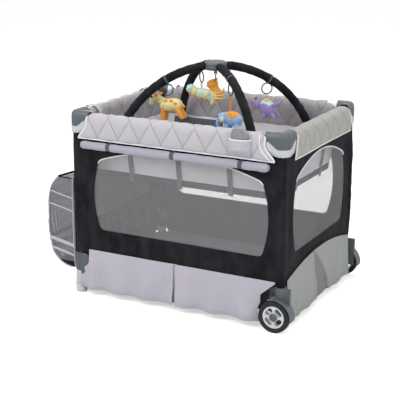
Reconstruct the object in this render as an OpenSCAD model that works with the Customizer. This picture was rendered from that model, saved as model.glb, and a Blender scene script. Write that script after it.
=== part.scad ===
/* [Frame] */
// Distance between the corner posts along the long side
post_span_x = 940; // [860:2:1020]
// Distance between the corner posts along the short side
post_span_y = 700; // [640:2:760]
// Height of the rail pivots above the floor
pivot_z = 768; // [700:1:800]
// Outer radius of a corner post
post_r = 13; // [11:0.5:14]
// Outer radius of a top rail
rail_r = 12.5; // [11:0.5:13]
// Wall of the steel tubes
tube_wall = 1.5; // [1:0.1:2.5]
// Distance from a post to the pivot of its rails
pivot_offset = 52; // [51:0.5:56]
// Drop from the pivot line to the middle of a rail
rail_drop = 16; // [15.5:0.5:17]
// Radius of the hinge pins of the rails
pin_r = 3; // [2.5:0.1:3.5]

/* [Corner caps] */
// Height of a cap above the rail pivots
cap_rise = 30; // [26:1:32]
// Half width of an arm of a cap
cap_half = 16; // [15.5:0.5:16]
// Length of a cap along the long rail
cap_arm_x = 92; // [84:1:96]
// Length of a cap along the short rail
cap_arm_y = 72; // [68:1:76]
// Depth of the pale collar under a cap
collar_h = 44; // [20:1:60]

/* [Base] */
// Height of the leg pivots above the floor
leg_z = 62; // [56:1:64]
// Radius of a base leg
leg_r = 10; // [8:0.5:10]
// Distance from a post to the pivot of its leg
foot_offset = 26; // [26:0.5:30]
// Radius of the leg pins
leg_pin_r = 4; // [3:0.1:4.5]
// Thickness of the flattened end of a leg
tongue_t = 12; // [10:0.5:12]
// Radius of the middle foot of the hub
hub_foot_r = 18; // [12:1:20]
// Top of the hub above the leg pivots
hub_rise = 16; // [15:1:24]

/* [Wheels] */
// Outer radius of a wheel
wheel_r = 66; // [56:1:70]
// Radius of the rim
rim_r = 46; // [42:1:50]
// Width of a tyre
tyre_w = 30; // [24:1:32]
// Distance from a wheel axle to its post, along the yard
axle_in = 11; // [6:1:16]
// Radius of an axle
axle_r = 5; // [4:0.1:6]
// Room between a tyre and its fender
fender_gap = 4; // [3:0.5:6]
// Width of the bracket's side plate, from the post
guard_w = 46; // [36:1:54]
// Drop of the side plate below the axle
guard_drop = 8; // [0:1:30]
// Angle at which the guard ends, below the level of the axle
guard_low = -8; // [-40:1:0]

/* [Cloth walls] */
// Thickness of the wall cloth
cloth_t = 2; // [1:0.1:2]
// Thickness of the mesh
mesh_t = 1; // [0.6:0.1:1.4]
// Bottom of the mesh windows above the floor
window_z = 298; // [260:1:320]
// Height of a window at its upper corners
window_side_h = 302; // [260:1:310]
// Rise of the arched top of a window
window_arch_h = 66; // [30:1:70]
// Half width of a long window at its lower corners
window_half_x = 372; // [320:1:380]
// Half width of a short window at its lower corners
window_half_y = 250; // [210:1:256]
// Outward curve of the sides of a window
window_bulge = 28; // [0:1:30]
// Top of the skirt above the floor
skirt_top = 204; // [170:1:220]
// Bottom of the skirt above the floor
skirt_low = 28; // [20:1:40]
// Rise of the arched top of the end skirts
skirt_arch = 46; // [0:1:60]
// Depth of the soft folds of the skirt
fold_depth = 2.4; // [0.5:0.1:3]
// Width of a soft fold
fold_pitch = 104; // [60:1:160]
// Width of the pleat in the middle of a skirt
pleat_w = 30; // [16:1:60]

/* [Bassinet] */
// Distance from the middle of a rail to the hanging cover
cover_gap = 24; // [22:0.5:25]
// Thickness of the padded rail cover
cover_t = 6; // [3:0.5:6]
// Top of the cover above the rail pivots
cover_rise = 20; // [17:0.5:22]
// Depth of the outer side of the cover
cover_out_h = 100; // [80:1:110]
// Depth of the inner side of the cover
cover_in_h = 118; // [60:1:120]
// Room between the cover and a corner cap
cover_end = 4; // [3:0.5:8]
// Spread of a long flap over the caps, at its lower edge
flap_spread_x = 68; // [10:1:70]
// Spread of an end flap over the caps
flap_spread_y = 22; // [6:1:40]
// Depth of the bassinet below its rim
tub_h = 275; // [180:1:300]
// Taper of the bassinet walls from rim to floor
tub_taper = 27; // [24:1:40]
// Thickness of the bassinet walls
tub_wall = 3; // [2:0.1:4]
// Thickness of the mattress
pad_h = 25; // [15:1:35]
// Number of folding panels of the mattress
pad_panels = 4; // [3:1:5]

/* [Toy bar] */
// Radius of the curve of a toy bar leg
arch_r = 448; // [440:1:452]
// Height of the middle of the toy bar above the rail pivots
arch_rise = 204; // [192:1:216]
// Radius of a padded leg
arm_r = 18; // [14:0.5:20]
// Direction of the legs, seen from above
arm_angle = 41; // [39:0.5:43]
// How far a leg curves down, in degrees
arm_sweep = 68; // [62:1:70]
// Radius of the middle piece
bar_hub_r = 48; // [40:1:54]
// Height of the middle piece
bar_hub_h = 38; // [37:1:44]
// Width of a loop that holds a toy
loop_w = 8; // [5:0.5:12]
// Thickness of a loop
loop_t = 1.6; // [1:0.1:2.4]

/* [Toys] */
// Length of the giraffe
giraffe_len = 178; // [120:1:186]
// Distance of the giraffe from the middle of the bar
giraffe_reach = 215; // [205:1:225]
// Drop of the giraffe below its leg
giraffe_drop = 106; // [102:1:146]
// Length of the worm
worm_len = 128; // [100:1:132]
// Distance of the worm from the middle of the bar
worm_reach = 170; // [164:1:180]
// Drop of the worm below its leg
worm_drop = 112; // [104:1:120]
// Height of the tiger
tiger_h = 104; // [84:1:108]
// Drop of the tiger below the eye of the middle piece
tiger_drop = 86; // [80:1:92]
// Length of the elephant
elephant_len = 98; // [80:1:104]
// Distance of the elephant from the middle of the bar
elephant_reach = 172; // [166:1:178]
// Drop of the elephant below its leg
elephant_drop = 168; // [156:1:172]
// Length of the bug
bug_len = 112; // [90:1:116]
// Distance of the bug from the middle of the bar
bug_reach = 236; // [226:1:240]
// Drop of the bug below its leg
bug_drop = 128; // [118:1:132]

/* [Front and end pieces] */
// Radius of the rolled cover
roll_r = 17.5; // [14:0.5:18]
// Length of the rolled cover
roll_len = 850; // [760:2:860]
// Drop of the rolled cover below the rail pivots
roll_drop = 104; // [102:1:114]
// Distance between the straps of the rolled cover
strap_gap = 300; // [240:1:340]
// Width of a strap
strap_w = 18; // [12:1:28]
// Height of a strap behind the flap
strap_up = 42; // [30:1:60]
// Radius of the sound unit
unit_r = 36; // [30:1:40]
// Drop of the sound unit's middle below the top of the covers
unit_drop = 8; // [4:1:20]
// Height of the pocket that holds the sound unit
pocket_h = 24; // [16:1:32]
// Thickness of the sound unit
unit_t = 24; // [18:1:28]
// Distance of the sound unit from the end of the yard
unit_in = 168; // [160:1:230]
// Width of the organiser bag
bag_w = 690; // [480:2:700]
// Depth of the organiser bag
bag_d = 140; // [90:1:150]
// Bottom of the organiser bag above the floor
bag_low = 100; // [90:1:140]
// Height of the organiser bag
bag_h = 400; // [340:1:420]
// Wall of the organiser bag
bag_wall = 4; // [2:0.5:6]

/* [Hidden] */
$fn = 48;
// Clearance between a pin and its bore
run_fit = 0.05;
// Clearance beside a moving piece
side_fit = 0.3;
// Clearance of a slid fit within one assembly
slip_fit = 0.1;
// Half distances between the posts
px = post_span_x / 2;
py = post_span_y / 2;
// Pivot to pivot length of the half rails, and of a leg that folds with them
half_x = px - pivot_offset;
half_y = py - pivot_offset;
leg_len = norm([half_x, half_y]);
leg_dir = [half_x, half_y] / leg_len;
leg_angle = atan2(half_y, half_x);
// The hub pivots make up what the foot pivots leave of the pivot offset
hub_pivot = [pivot_offset, pivot_offset] - foot_offset * leg_dir;
rail_z = pivot_z - rail_drop;
cap_top = pivot_z + cap_rise;
// Ears of the rail hinges
ear_r = 9;
ear_half = 5;
cheek_end = pivot_offset + 12;
tube_start = 22;
spigot = 15;
mid_block = 40;
button_r = 7;
button_at = 22;
button_out = 6;
leg_ear_r = 13;
leg_ear_t = 6;
tongue_len = 18;
fork_w = tongue_t + 2 * (side_fit + leg_ear_t);
hub_top = leg_z + hub_rise;
hub_r = 34;
hub_low = leg_z - leg_ear_r - 3;
floor_t = 2;
floor_z = hub_top + side_fit;
post_low = 24;
bracket_r = post_r + 8;
bracket_top = skirt_top - 24;
sleeve_in = post_r + side_fit;
wall_in = sleeve_in;
wall_out = sleeve_in + cloth_t;
wall_low = floor_z;
wall_top = rail_z - rail_r - 4;
sleeve_low = bracket_top + side_fit;
sleeve_top = rail_z - collar_h - side_fit;
notch_low = wheel_r * 0.65;
notch_top = cap_half + 6;
skirt_gap = 6;
slot_in = 3 * leg_ear_r;
skirt_end = post_r + 6;
cover_top = pivot_z + cover_rise;
cover_x = px - cap_arm_x - cover_end;
cover_y = py - cap_arm_y - cover_end;
tub_top = cover_top - 8;
tub_low = tub_top - tub_h;
tub_in = cover_gap + cover_t + side_fit;
tub_floor = 6;
clip_w = 44;
flap_spread_top = 16;
arch_top = pivot_z + arch_rise;
arm_z0 = arch_top - arch_r;
arm_start = asin((bar_hub_r + side_fit) / (arch_r - arm_r));
bar_hub_low = arch_top - bar_hub_h / 2;
loop_mid = arm_r + 0.8 + loop_t / 2;
eye_z = bar_hub_low - 8;
eye_r = 3;
wheel_y = py + wall_out + 2 + tyre_w / 2;
wheel_x = px - axle_in;
axle_z = wheel_r;
rim_half = (tyre_w - 8) / 2;
fender_in = wheel_r + fender_gap;
fender_t = 5;
web_t = wall_out + 1.2;
axle_len = wheel_y + rim_half + side_fit - py - post_r - 0.5;
roll_y = py + wall_out + side_fit + roll_r;
flap_out = py + cover_gap + cover_t;
unit_x = px - unit_in;
unit_z = cover_top - unit_drop;
roll_z = pivot_z - roll_drop;
bag_x = px + cover_gap + cover_t + side_fit;
hook_drop = 20;
hook_reach = bag_x - px + tub_in + tub_wall + tub_taper * hook_drop / tub_h + side_fit;
steel = "silver";
dark_plastic = "#4d5257";
pale_plastic = "#b9bcc0";
black_cloth = "#26272a";
grey_cloth = "#c9c7cc";

CORNERS = [["front_left", -1, -1], ["front_right", 1, -1], ["back_left", -1, 1], ["back_right", 1, 1]];
LEFT_CORNERS = [CORNERS[0], CORNERS[2]];
RIGHT_CORNERS = [CORNERS[1], CORNERS[3]];
LONG_SIDES = [["front", -1], ["back", 1]];
END_SIDES = [["left", -1], ["right", 1]];

// A tube along +X
module tube_x(length, r, wall = tube_wall)
{
    rotate([0, 90, 0])
        difference() {
            cylinder(h = length, r = r);
            translate([0, 0, -1]) cylinder(h = length + 2, r = r - wall);
        }
}

// A round bar along Y, centred
module bar_y(length, r)
{
    rotate([90, 0, 0]) cylinder(h = length, r = r, center = true);
}

// Puts a child drawn in the first quadrant into a corner
module at_corner(sx, sy)
{
    mirror([sx < 0 ? 1 : 0, 0, 0]) mirror([0, sy < 0 ? 1 : 0, 0]) children();
}

// Turns a child drawn for the +X end into the matching end wall
module at_end(sx)
{
    mirror([sx < 0 ? 1 : 0, 0, 0]) children();
}

module at_side(sy)
{
    mirror([0, sy < 0 ? 1 : 0, 0]) children();
}

module base_hub()
{
    color(dark_plastic) difference() {
        union() {
            translate([0, 0, hub_low]) cylinder(h = hub_top - hub_low, r = hub_r);
            cylinder(h = leg_z, r = hub_foot_r);
            for (c = CORNERS) at_corner(c[1], c[2]) hub_ears();
        }
        for (c = CORNERS) at_corner(c[1], c[2]) at_hub_pivot() bar_y(fork_w + 2, leg_pin_r + run_fit);
    }
    color(steel) for (c = CORNERS) at_corner(c[1], c[2]) at_hub_pivot() bar_y(fork_w, leg_pin_r);
}

module at_hub_pivot()
{
    translate([hub_pivot.x, hub_pivot.y, leg_z]) rotate([0, 0, leg_angle]) children();
}

// Two plates that hold the inner end of a leg between them
module hub_ears()
{
    at_hub_pivot() for (s = [-1, 1]) translate([0, s * (fork_w - leg_ear_t) / 2, 0]) {
        bar_y(leg_ear_t, leg_ear_r);
        translate([-norm(hub_pivot), -leg_ear_t / 2, -leg_ear_r])
            cube([norm(hub_pivot), leg_ear_t, 2 * leg_ear_r]);
    }
}

// A leg runs from its hub pivot to its foot pivot, with a flattened bored end at each
module base_leg()
{
    at_hub_pivot() color(steel) difference() {
        union() {
            translate([tongue_len, 0, 0]) tube_x(leg_len - 2 * tongue_len, leg_r);
            for (e = [0, 1]) translate([e * leg_len, 0, 0]) mirror([e, 0, 0]) leg_end();
        }
        for (e = [0, 1]) translate([e * leg_len, 0, 0]) bar_y(tongue_t + 2, leg_pin_r + run_fit);
    }
}

module leg_end()
{
    bar_y(tongue_t, leg_ear_r - 4);
    translate([0, -tongue_t / 2, 4 - leg_ear_r]) cube([tongue_len, tongue_t, 2 * (leg_ear_r - 4)]);
    translate([tongue_len - 4, 0, 0]) rotate([0, 90, 0]) cylinder(h = 8, r = leg_r - tube_wall + 0.01);
}

module corner_post()
{
    color(steel) translate([px, py, post_low]) difference() {
        cylinder(h = cap_top - 20 - post_low, r = post_r);
        translate([0, 0, -1]) cylinder(h = cap_top - post_low, r = post_r - tube_wall);
    }
}

// Cap with a slotted arm for each rail, drawn at the origin with its arms along -X and -Y
module corner_cap()
{
    translate([px, py, 0]) {
        color(dark_plastic) difference() {
            union() {
                translate([0, 0, rail_z]) cylinder(h = cap_top - rail_z, r = cap_half + 4);
                cap_arm(cap_arm_x);
                rotate([0, 0, 90]) mirror([0, 1, 0]) cap_arm(cap_arm_y);
            }
            translate([0, 0, 1]) cylinder(h = cap_top - 20, r = post_r + slip_fit);
            cap_slot(cap_arm_x);
            rotate([0, 0, 90]) mirror([0, 1, 0]) cap_slot(cap_arm_y);
        }
        color(pale_plastic) difference() {
            translate([0, 0, rail_z - collar_h]) {
                cylinder(h = collar_h - slip_fit, r = cap_half + 4);
                cap_skin(cap_arm_x);
                rotate([0, 0, 90]) mirror([0, 1, 0]) cap_skin(cap_arm_y);
            }
            translate([0, 0, rail_z - collar_h - 1]) cylinder(h = collar_h + 2, r = post_r + slip_fit);
        }
        color(steel) {
            translate([-pivot_offset, 0, pivot_z]) bar_y(2 * cap_half, pin_r);
            translate([0, -pivot_offset, pivot_z]) rotate([0, 0, 90]) bar_y(2 * cap_half, pin_r);
        }
    }
}

module cap_arm(length)
{
    translate([-length, -cap_half, rail_z]) cube([length, 2 * cap_half, cap_top - rail_z]);
}

// Rise of the lower edge of a cap, at a distance from the post
function skin_rise(d, length) = let(u = (d - post_r) / (length - post_r))
    u * u * (3 - 2 * u) * (collar_h - 8);

// Thin side that sweeps up from the collar to the end of an arm, outside the rail
module cap_skin(length)
{
    sweep = [for (i = [0:12]) let(d = post_r + i / 12 * (length - post_r)) [-d, skin_rise(d, length)]];
    upright_sheet(rail_r + side_fit, cap_half - rail_r - side_fit)
        polygon(concat(sweep, [[-length, collar_h - slip_fit], [-post_r, collar_h - slip_fit]]));
}

module cap_slot(length)
{
    translate([-pivot_offset, 0, pivot_z]) bar_y(2 * cap_half + 2, pin_r + run_fit);
    translate([-cheek_end - 1, -ear_half - side_fit, rail_z - 1])
        cube([cheek_end - post_r - 8, 2 * (ear_half + side_fit), pivot_z - rail_z + ear_r + 3]);
    translate([-length - 1, -rail_r - 2, rail_z - 1])
        cube([length + 1 - cheek_end, 2 * (rail_r + 2), pivot_z - rail_z + ear_r + 3]);
}

// Foot moulding around the bottom of a post, with a forked ear for the leg
module foot()
{
    color(dark_plastic) difference() {
        union() {
            translate([px, py, 8]) cylinder(h = 30, r = post_r + 11);
            translate([px, py, 8]) cylinder(h = bracket_top - 8, r = bracket_r);
            foot_fork();
        }
        translate([px, py, post_low]) cylinder(h = bracket_top, r = post_r + slip_fit);
        foot_slot();
    }
    color(pale_plastic) translate([px, py, 0]) cylinder(h = 8 - slip_fit, r = post_r + 9);
    color(steel) at_foot_pivot() bar_y(fork_w, leg_pin_r);
}

module at_foot_pivot()
{
    translate([px - foot_offset * leg_dir.x, py - foot_offset * leg_dir.y, leg_z])
        rotate([0, 0, leg_angle]) children();
}

module foot_fork()
{
    at_foot_pivot() {
        bar_y(fork_w, leg_ear_r);
        translate([0, -fork_w / 2, -leg_ear_r - 30]) cube([foot_offset, fork_w, leg_ear_r + 30]);
    }
}

module foot_slot()
{
    at_foot_pivot() {
        bar_y(2 * tongue_t + 40, leg_pin_r + run_fit);
        bar_y(tongue_t + 2 * side_fit, leg_ear_r - 3);
        translate([-slot_in, -tongue_t / 2 - side_fit, -leg_ear_r + 3])
            cube([slot_in, tongue_t + 2 * side_fit, bracket_top]);
        translate([-1, -tongue_t / 2 - side_fit, -leg_ear_r + 3])
            cube([foot_offset - post_r - 2.5, tongue_t + 2 * side_fit, bracket_top]);
        translate([-slot_in, -leg_r - 1, leg_ear_r + 2])
            cube([slot_in + foot_offset - post_r - 4, 2 * leg_r + 2, bracket_top]);
    }
}

// Bracket at a wheel corner: the same fork, a fender over the wheel and its axle
module wheel_bracket()
{
    color(dark_plastic) difference() {
        union() {
            translate([px, py, 12]) cylinder(h = bracket_top - 12, r = web_t - 0.4);
            translate([px, py, axle_z + fender_in + fender_t / 2])
                cylinder(h = bracket_top - axle_z - fender_in - fender_t / 2, r = bracket_r);
            foot_fork();
            bracket_arm();
            fender();
        }
        translate([px, py, post_low]) cylinder(h = bracket_top, r = post_r + slip_fit);
        foot_slot();
        translate([wheel_x, wheel_y, axle_z]) bar_y(2 * (tyre_w + wall_out) + 40, axle_r + run_fit);
    }
    color(steel) translate([wheel_x, wheel_y + rim_half + side_fit, axle_z]) rotate([90, 0, 0]) {
        cylinder(h = axle_len, r = axle_r);
        translate([0, 0, -3]) cylinder(h = 3, r = axle_r + 4);
    }
    color(steel) at_foot_pivot() bar_y(fork_w, leg_pin_r);
}

// Web that joins the post to the fender, behind the wheel
module bracket_arm()
{
    translate([wheel_x - 22, py, axle_z - 20])
        cube([22 + axle_in, web_t, 40]);
    translate([wheel_x, py, axle_z + 20])
        cube([axle_in + post_r, web_t, fender_in - 20 + fender_t - 2]);
    translate([px, py + 4, axle_z - guard_drop])
        cube([guard_w, web_t - 4, bracket_top - axle_z + guard_drop]);
}

// Curved guard over the top and the outer side of the wheel
module fender()
{
    translate([wheel_x, py + 4, axle_z]) rotate([90, 0, 0]) mirror([0, 0, 1])
        rotate([0, 0, guard_low]) rotate_extrude(angle = 112 - guard_low)
            translate([fender_in, 0]) square([fender_t, wheel_y - py + tyre_w / 2 - 6]);
}

module wheel_tyre()
{
    color("#1d1e20") translate([wheel_x, wheel_y, axle_z]) rotate([90, 0, 0])
        rotate_extrude() polygon([
            [rim_r + slip_fit, -tyre_w / 2 + 3], [wheel_r - 5, -tyre_w / 2],
            [wheel_r - 1, -tyre_w / 2 + 4], [wheel_r, 0], [wheel_r - 1, tyre_w / 2 - 4],
            [wheel_r - 5, tyre_w / 2], [rim_r + slip_fit, tyre_w / 2 - 3]]);
}

module wheel_rim()
{
    color(pale_plastic) translate([wheel_x, wheel_y, axle_z]) rotate([90, 0, 0]) difference() {
        cylinder(h = 2 * rim_half, r = rim_r, center = true);
        cylinder(h = tyre_w, r = axle_r + run_fit, center = true);
        for (k = [0:3]) rotate([0, 0, 45 + 90 * k]) translate([rim_r * 0.62, 0, 0])
            rim_window();
    }
}

// Rounded window between two spokes
module rim_window()
{
    for (s = [-1, 1]) translate([0, s * rim_r * 0.2, 0])
        cylinder(h = tyre_w, r = rim_r * 0.2, center = true);
    cube([rim_r * 0.4, rim_r * 0.4, tyre_w], center = true);
}

// Half of a rail, drawn along +X from its corner pivot to the middle hinge
module half_rail(length, fork)
{
    tube_len = length - tube_start - mid_block;
    color(steel) translate([tube_start, 0, -rail_drop]) tube_x(tube_len, rail_r);
    color(dark_plastic) {
        difference() {
            union() {
                bar_y(2 * ear_half, ear_r);
                translate([0, -ear_half, -rail_drop - 10])
                    cube([tube_start - 0.1, 2 * ear_half, rail_drop + 10]);
                rail_plug(tube_start - 2);
            }
            bar_y(2 * ear_half + 2, pin_r + run_fit);
        }
        difference() {
            union() {
                translate([length - mid_block + 0.1, -rail_r, -rail_drop - rail_r])
                    cube([mid_block - 0.1 - side_fit, 2 * rail_r, 2 * rail_r]);
                rail_plug(length - mid_block - spigot + 2);
                mid_ears(length, fork);
            }
            mid_cuts(length, fork);
        }
    }
    if (fork) color(steel) translate([length, 0, 0]) bar_y(4 * ear_half + 2 * side_fit, pin_r);
}

// Spigot that seats in the end of a rail tube
module rail_plug(at)
{
    translate([at, 0, -rail_drop]) rotate([0, 90, 0])
        cylinder(h = spigot, r = rail_r - tube_wall - slip_fit);
}

module mid_ears(length, fork)
{
    half = fork ? 2 * ear_half + side_fit : ear_half;
    translate([length, 0, 0]) bar_y(2 * half, ear_r);
    translate([length - ear_r - 6, -half, -rail_drop])
        cube([ear_r + 6 - side_fit, 2 * half, rail_drop + 2]);
}

module mid_cuts(length, fork)
{
    translate([length, 0, 0]) bar_y(6 * ear_half, pin_r + (fork ? run_fit : side_fit));
    translate([length - side_fit, -rail_r - 1, -rail_drop - rail_r - 1])
        cube([ear_r + 10, 2 * rail_r + 2, rail_drop + rail_r + 1 - ear_r - 0.5]);
    if (fork) {
        translate([length - ear_r - 8, -ear_half - side_fit, -ear_r - 1])
            cube([2 * ear_r + 17, 2 * (ear_half + side_fit), 2 * ear_r + 4]);
        translate([length - button_at, 0, -rail_drop - rail_r - 1])
            cylinder(h = 16, r = button_r + run_fit);
    } else {
        for (y = [-3 * ear_half, ear_half]) translate([length - ear_r - 1.5, y, -ear_r - 1.5])
            cube([2 * ear_r + 10, 2 * ear_half, 2 * ear_r + 6]);
    }
}

// Places a half rail of the long side that starts at the +X corner of the +Y side
module long_rail(fork)
{
    translate([px - pivot_offset, py, pivot_z]) rotate([0, 0, 180]) half_rail(half_x, fork);
}

module end_rail(fork)
{
    translate([px, py - pivot_offset, pivot_z]) rotate([0, 0, -90]) half_rail(half_y, fork);
}

// Button that frees the middle hinge of a rail, under the forked half
module latch_button(along_x)
{
    at = along_x ? [-button_at, -py] : [-px, -button_at];
    color(pale_plastic) translate([at.x, at.y, rail_z - rail_r - button_out])
        cylinder(h = button_out + 8, r = button_r);
}

// Outline of a mesh window: straight foot, bulged sides, arched top
function window_points(half, grow) = concat(
    [for (i = [0:8]) let(t = i / 8) [
        half + grow + 4 * window_bulge * t * (1 - t),
        window_z - grow + t * (window_side_h + 2 * grow)]],
    [for (i = [1:15]) let(u = 1 - i / 8) [
        (half + grow) * u,
        window_z + window_side_h + grow + window_arch_h * (1 - u * u)]],
    [for (i = [8:-1:0]) let(t = i / 8) [
        -half - grow - 4 * window_bulge * t * (1 - t),
        window_z - grow + t * (window_side_h + 2 * grow)]]
);

// Outline of a wall, notched for the foot brackets and for the collars of the caps
function wall_points(half, arm) = let(
    right = concat(
        [[half - notch_low, wall_low], [half - notch_low, sleeve_low], [half, sleeve_low]],
        [[half, sleeve_top], [half - notch_top, sleeve_top]],
        [for (i = [0:8]) let(d = notch_top + i / 8 * (arm - notch_top))
            [half - d - side_fit, min(wall_top, sleeve_top + skin_rise(d, arm))]]),
    last = len(right) - 1)
    concat(right, [for (i = [last:-1:0]) [-right[i].x, right[i].y]]);

// A sheet in the XZ plane of the +Y side, from y0 outwards
module upright_sheet(y0, thickness)
{
    translate([0, y0 + thickness, 0]) rotate([90, 0, 0]) linear_extrude(thickness) children();
}

// Wall of the +Y side: black cloth with a window, mesh behind it, and a quarter sleeve on each post
module wall(half_span, offset, window_half, arm, sleeves)
{
    color(black_cloth) {
        upright_sheet(offset + wall_in, cloth_t) difference() {
            polygon(wall_points(half_span, arm));
            polygon(window_points(window_half, 0));
        }
        if (sleeves) for (s = [-1, 1]) at_end(s) translate([half_span, offset, sleeve_low])
            rotate_extrude(angle = 90) translate([sleeve_in, 0]) square([cloth_t, sleeve_top - sleeve_low]);
    }
    color("#6d6f74") upright_sheet(offset + wall_in - mesh_t - slip_fit, mesh_t)
        polygon(window_points(window_half, 10));
}

module long_wall()
{
    wall(px, py, window_half_x, cap_arm_x, true);
}

module end_wall()
{
    rotate([0, 0, -90]) wall(py - side_fit, px, window_half_y, cap_arm_y, false);
}

// Depth of the skirt cloth at a place along it: soft folds, and a pleat in the middle
function fold_at(s) = fold_depth * sin(360 * s / fold_pitch)
    - (abs(s) < pleat_w / 2 ? (skirt_gap - cloth_t - side_fit) * (1 - abs(s) / (pleat_w / 2)) : 0);

function fold_line(s0, s1, count, away) = [for (i = [0:count])
    let(s = s0 + (s1 - s0) * i / count) [s, away + fold_at(s)]];

// Hanging cloth of the +Y side between two places along it
module skirt(s0, s1, offset, arch)
{
    count = 72;
    plane = offset + wall_out + skirt_gap;
    color(grey_cloth) intersection() {
        translate([0, 0, skirt_low]) linear_extrude(skirt_top + arch - skirt_low)
            polygon(concat(fold_line(s0, s1, count, plane), fold_line(s1, s0, count, plane - cloth_t)));
        upright_sheet(offset, 60) polygon(concat(
            [[s0 - 1, skirt_low - 1], [s1 + 1, skirt_low - 1]],
            [for (i = [0:16]) let(u = 1 - i / 8)
                [(s0 + s1) / 2 + u * ((s1 - s0) / 2 + 1), skirt_top + arch * (1 - u * u)]]));
    }
}

// The long skirts stop short of the wheel at the +X end
module long_skirt()
{
    skirt(skirt_end - px, wheel_x - fender_in - fender_t - 8, py, 0);
}

module end_skirt()
{
    rotate([0, 0, -90]) skirt(skirt_end - py, py - skirt_end, px, skirt_arch);
}

module floor_cloth()
{
    color("#8e9096") translate([0, 0, floor_z]) linear_extrude(floor_t) difference() {
        square(2 * [px + wall_in - side_fit, py + wall_in - side_fit], center = true);
        for (c = CORNERS) at_corner(c[1], c[2]) translate([px, py])
            circle(r = foot_offset + leg_ear_r + 6);
    }
}

// Cover over a rail of the +Y side: an upside-down channel
module cover_channel(half_len, offset, spread_low, spread_top)
{
    translate([-half_len, 0, 0]) rotate([90, 0, 90]) linear_extrude(2 * half_len) polygon([
        [offset + cover_gap, cover_top - cover_out_h],
        [offset + cover_gap + cover_t / 2, cover_top - cover_out_h],
        [offset + cover_gap + cover_t, cover_top - cover_out_h + 14],
        [offset + cover_gap + cover_t, cover_top - 2 * cover_t],
        [offset + cover_gap + cover_t * 0.7, cover_top - cover_t * 0.7],
        [offset + cover_gap, cover_top - cover_t * 0.2],
        [offset + cover_gap / 2, cover_top],
        [offset - cover_gap / 2, cover_top],
        [offset - cover_gap, cover_top - cover_t * 0.2],
        [offset - cover_gap - cover_t * 0.7, cover_top - cover_t * 0.7],
        [offset - cover_gap - cover_t, cover_top - 2 * cover_t],
        [offset - cover_gap - cover_t, cover_top - cover_in_h + 14],
        [offset - cover_gap - cover_t / 2, cover_top - cover_in_h],
        [offset - cover_gap, cover_top - cover_in_h],
        [offset - cover_gap, cover_top - cover_t],
        [offset + cover_gap, cover_top - cover_t]]);
    upright_sheet(offset + cover_gap, cover_t / 2) polygon([
        [-half_len - spread_low, cover_top - cover_out_h],
        [half_len + spread_low, cover_top - cover_out_h],
        [half_len + spread_top, cover_top - 2 * cover_t],
        [-half_len - spread_top, cover_top - 2 * cover_t]]);
    for (s = [-1, 1]) translate([s * half_len / 2, offset, 0]) rail_clip();
}

// Block under the cover by which the bassinet hangs on a rail
module rail_clip()
{
    rest = rail_z + rail_r + side_fit;
    translate([-clip_w / 2, -rail_r, rest]) cube([clip_w, 2 * rail_r, cover_top - cover_t / 2 - rest]);
}

module quilted_cover()
{
    color(grey_cloth) {
        for (s = [-1, 1]) at_side(s) cover_channel(cover_x, py, flap_spread_x, flap_spread_top);
        at_end(-1) end_cover();
        unit_pocket();
    }
}

module right_cover()
{
    color("#b3b1ad") end_cover();
}

module end_cover()
{
    rotate([0, 0, -90]) cover_channel(cover_y, px, flap_spread_y, flap_spread_y);
}

// Pocket on the front flap that holds the sound unit
module unit_pocket()
{
    half_w = unit_r + 2.4;
    depth = unit_t + 0.8;
    translate([unit_x - half_w, -flap_out - depth, unit_z - unit_r - 2 - side_fit]) difference() {
        translate([-2, -2, 0]) cube([2 * half_w + 4, depth + 2, pocket_h]);
        translate([0, 0, 2]) cube([2 * half_w, depth - slip_fit, pocket_h]);
    }
}

module sound_unit()
{
    color("#9aa0a3") translate([unit_x, -flap_out - 0.4, unit_z]) rotate([90, 0, 0]) {
        cylinder(h = unit_t - 8, r = unit_r);
        translate([0, 0, unit_t - 8]) cylinder(h = 8, r1 = unit_r, r2 = unit_r - 8);
    }
}

// Open-topped bassinet with walls that lean in towards its floor
module bassinet_tub()
{
    top = [px - tub_in, py - tub_in];
    low = top - [tub_taper, tub_taper];
    color("#d5d4d8") difference() {
        tub_block(top, low, tub_low, tub_top);
        tub_block(top - [tub_wall, tub_wall], low - [tub_wall, tub_wall],
            tub_low + tub_floor, tub_top + 0.1);
    }
}

module tub_block(top, low, z0, z1)
{
    polyhedron(
        points = concat(tub_ring(low, z0), tub_ring(top, z1)),
        faces = [[0, 1, 2, 3], [7, 6, 5, 4], [4, 5, 1, 0], [5, 6, 2, 1], [6, 7, 3, 2], [7, 4, 0, 3]]);
}

function tub_ring(half, z) = [
    [-half.x, -half.y, z], [half.x, -half.y, z], [half.x, half.y, z], [-half.x, half.y, z]];

// Mattress in folding panels, each crowned between two channels
module mattress_pad()
{
    half_l = px - tub_in - tub_taper - tub_wall - 2;
    half_w = py - tub_in - tub_taper - tub_wall - 2;
    panel = 2 * half_l / pad_panels;
    crown = 6;
    color("#d9d8dc") translate([-half_l, half_w, tub_low + tub_floor + side_fit]) rotate([90, 0, 0])
        linear_extrude(2 * half_w) polygon(concat(
            [[2 * half_l, 0], [0, 0]],
            [for (k = [0:pad_panels - 1]) for (i = [0:8]) let(u = i / 4 - 1)
                [panel * (k + i / 8) + (i == 0 ? 0.5 : i == 8 ? -0.5 : 0),
                 pad_h - crown * u * u - (i == 0 || i == 8 ? crown : 0)]]));
}

// Direction of each toy bar leg, seen from above
function arm_turn(sx, sy) = atan2(sy * sin(arm_angle), sx * cos(arm_angle));

module toy_bar_legs()
{
    for (c = CORNERS) rotate([0, 0, arm_turn(c[1], c[2])]) {
        color(black_cloth) translate([0, 0, arm_z0]) rotate([90, 0, 0]) rotate([0, 0, 90 - arm_sweep])
            rotate_extrude(angle = arm_sweep - arm_start) translate([arch_r, 0]) circle(r = arm_r);
    }
    color(dark_plastic) for (c = CORNERS) at_corner(c[1], c[2]) arm_clip();
}

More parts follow.
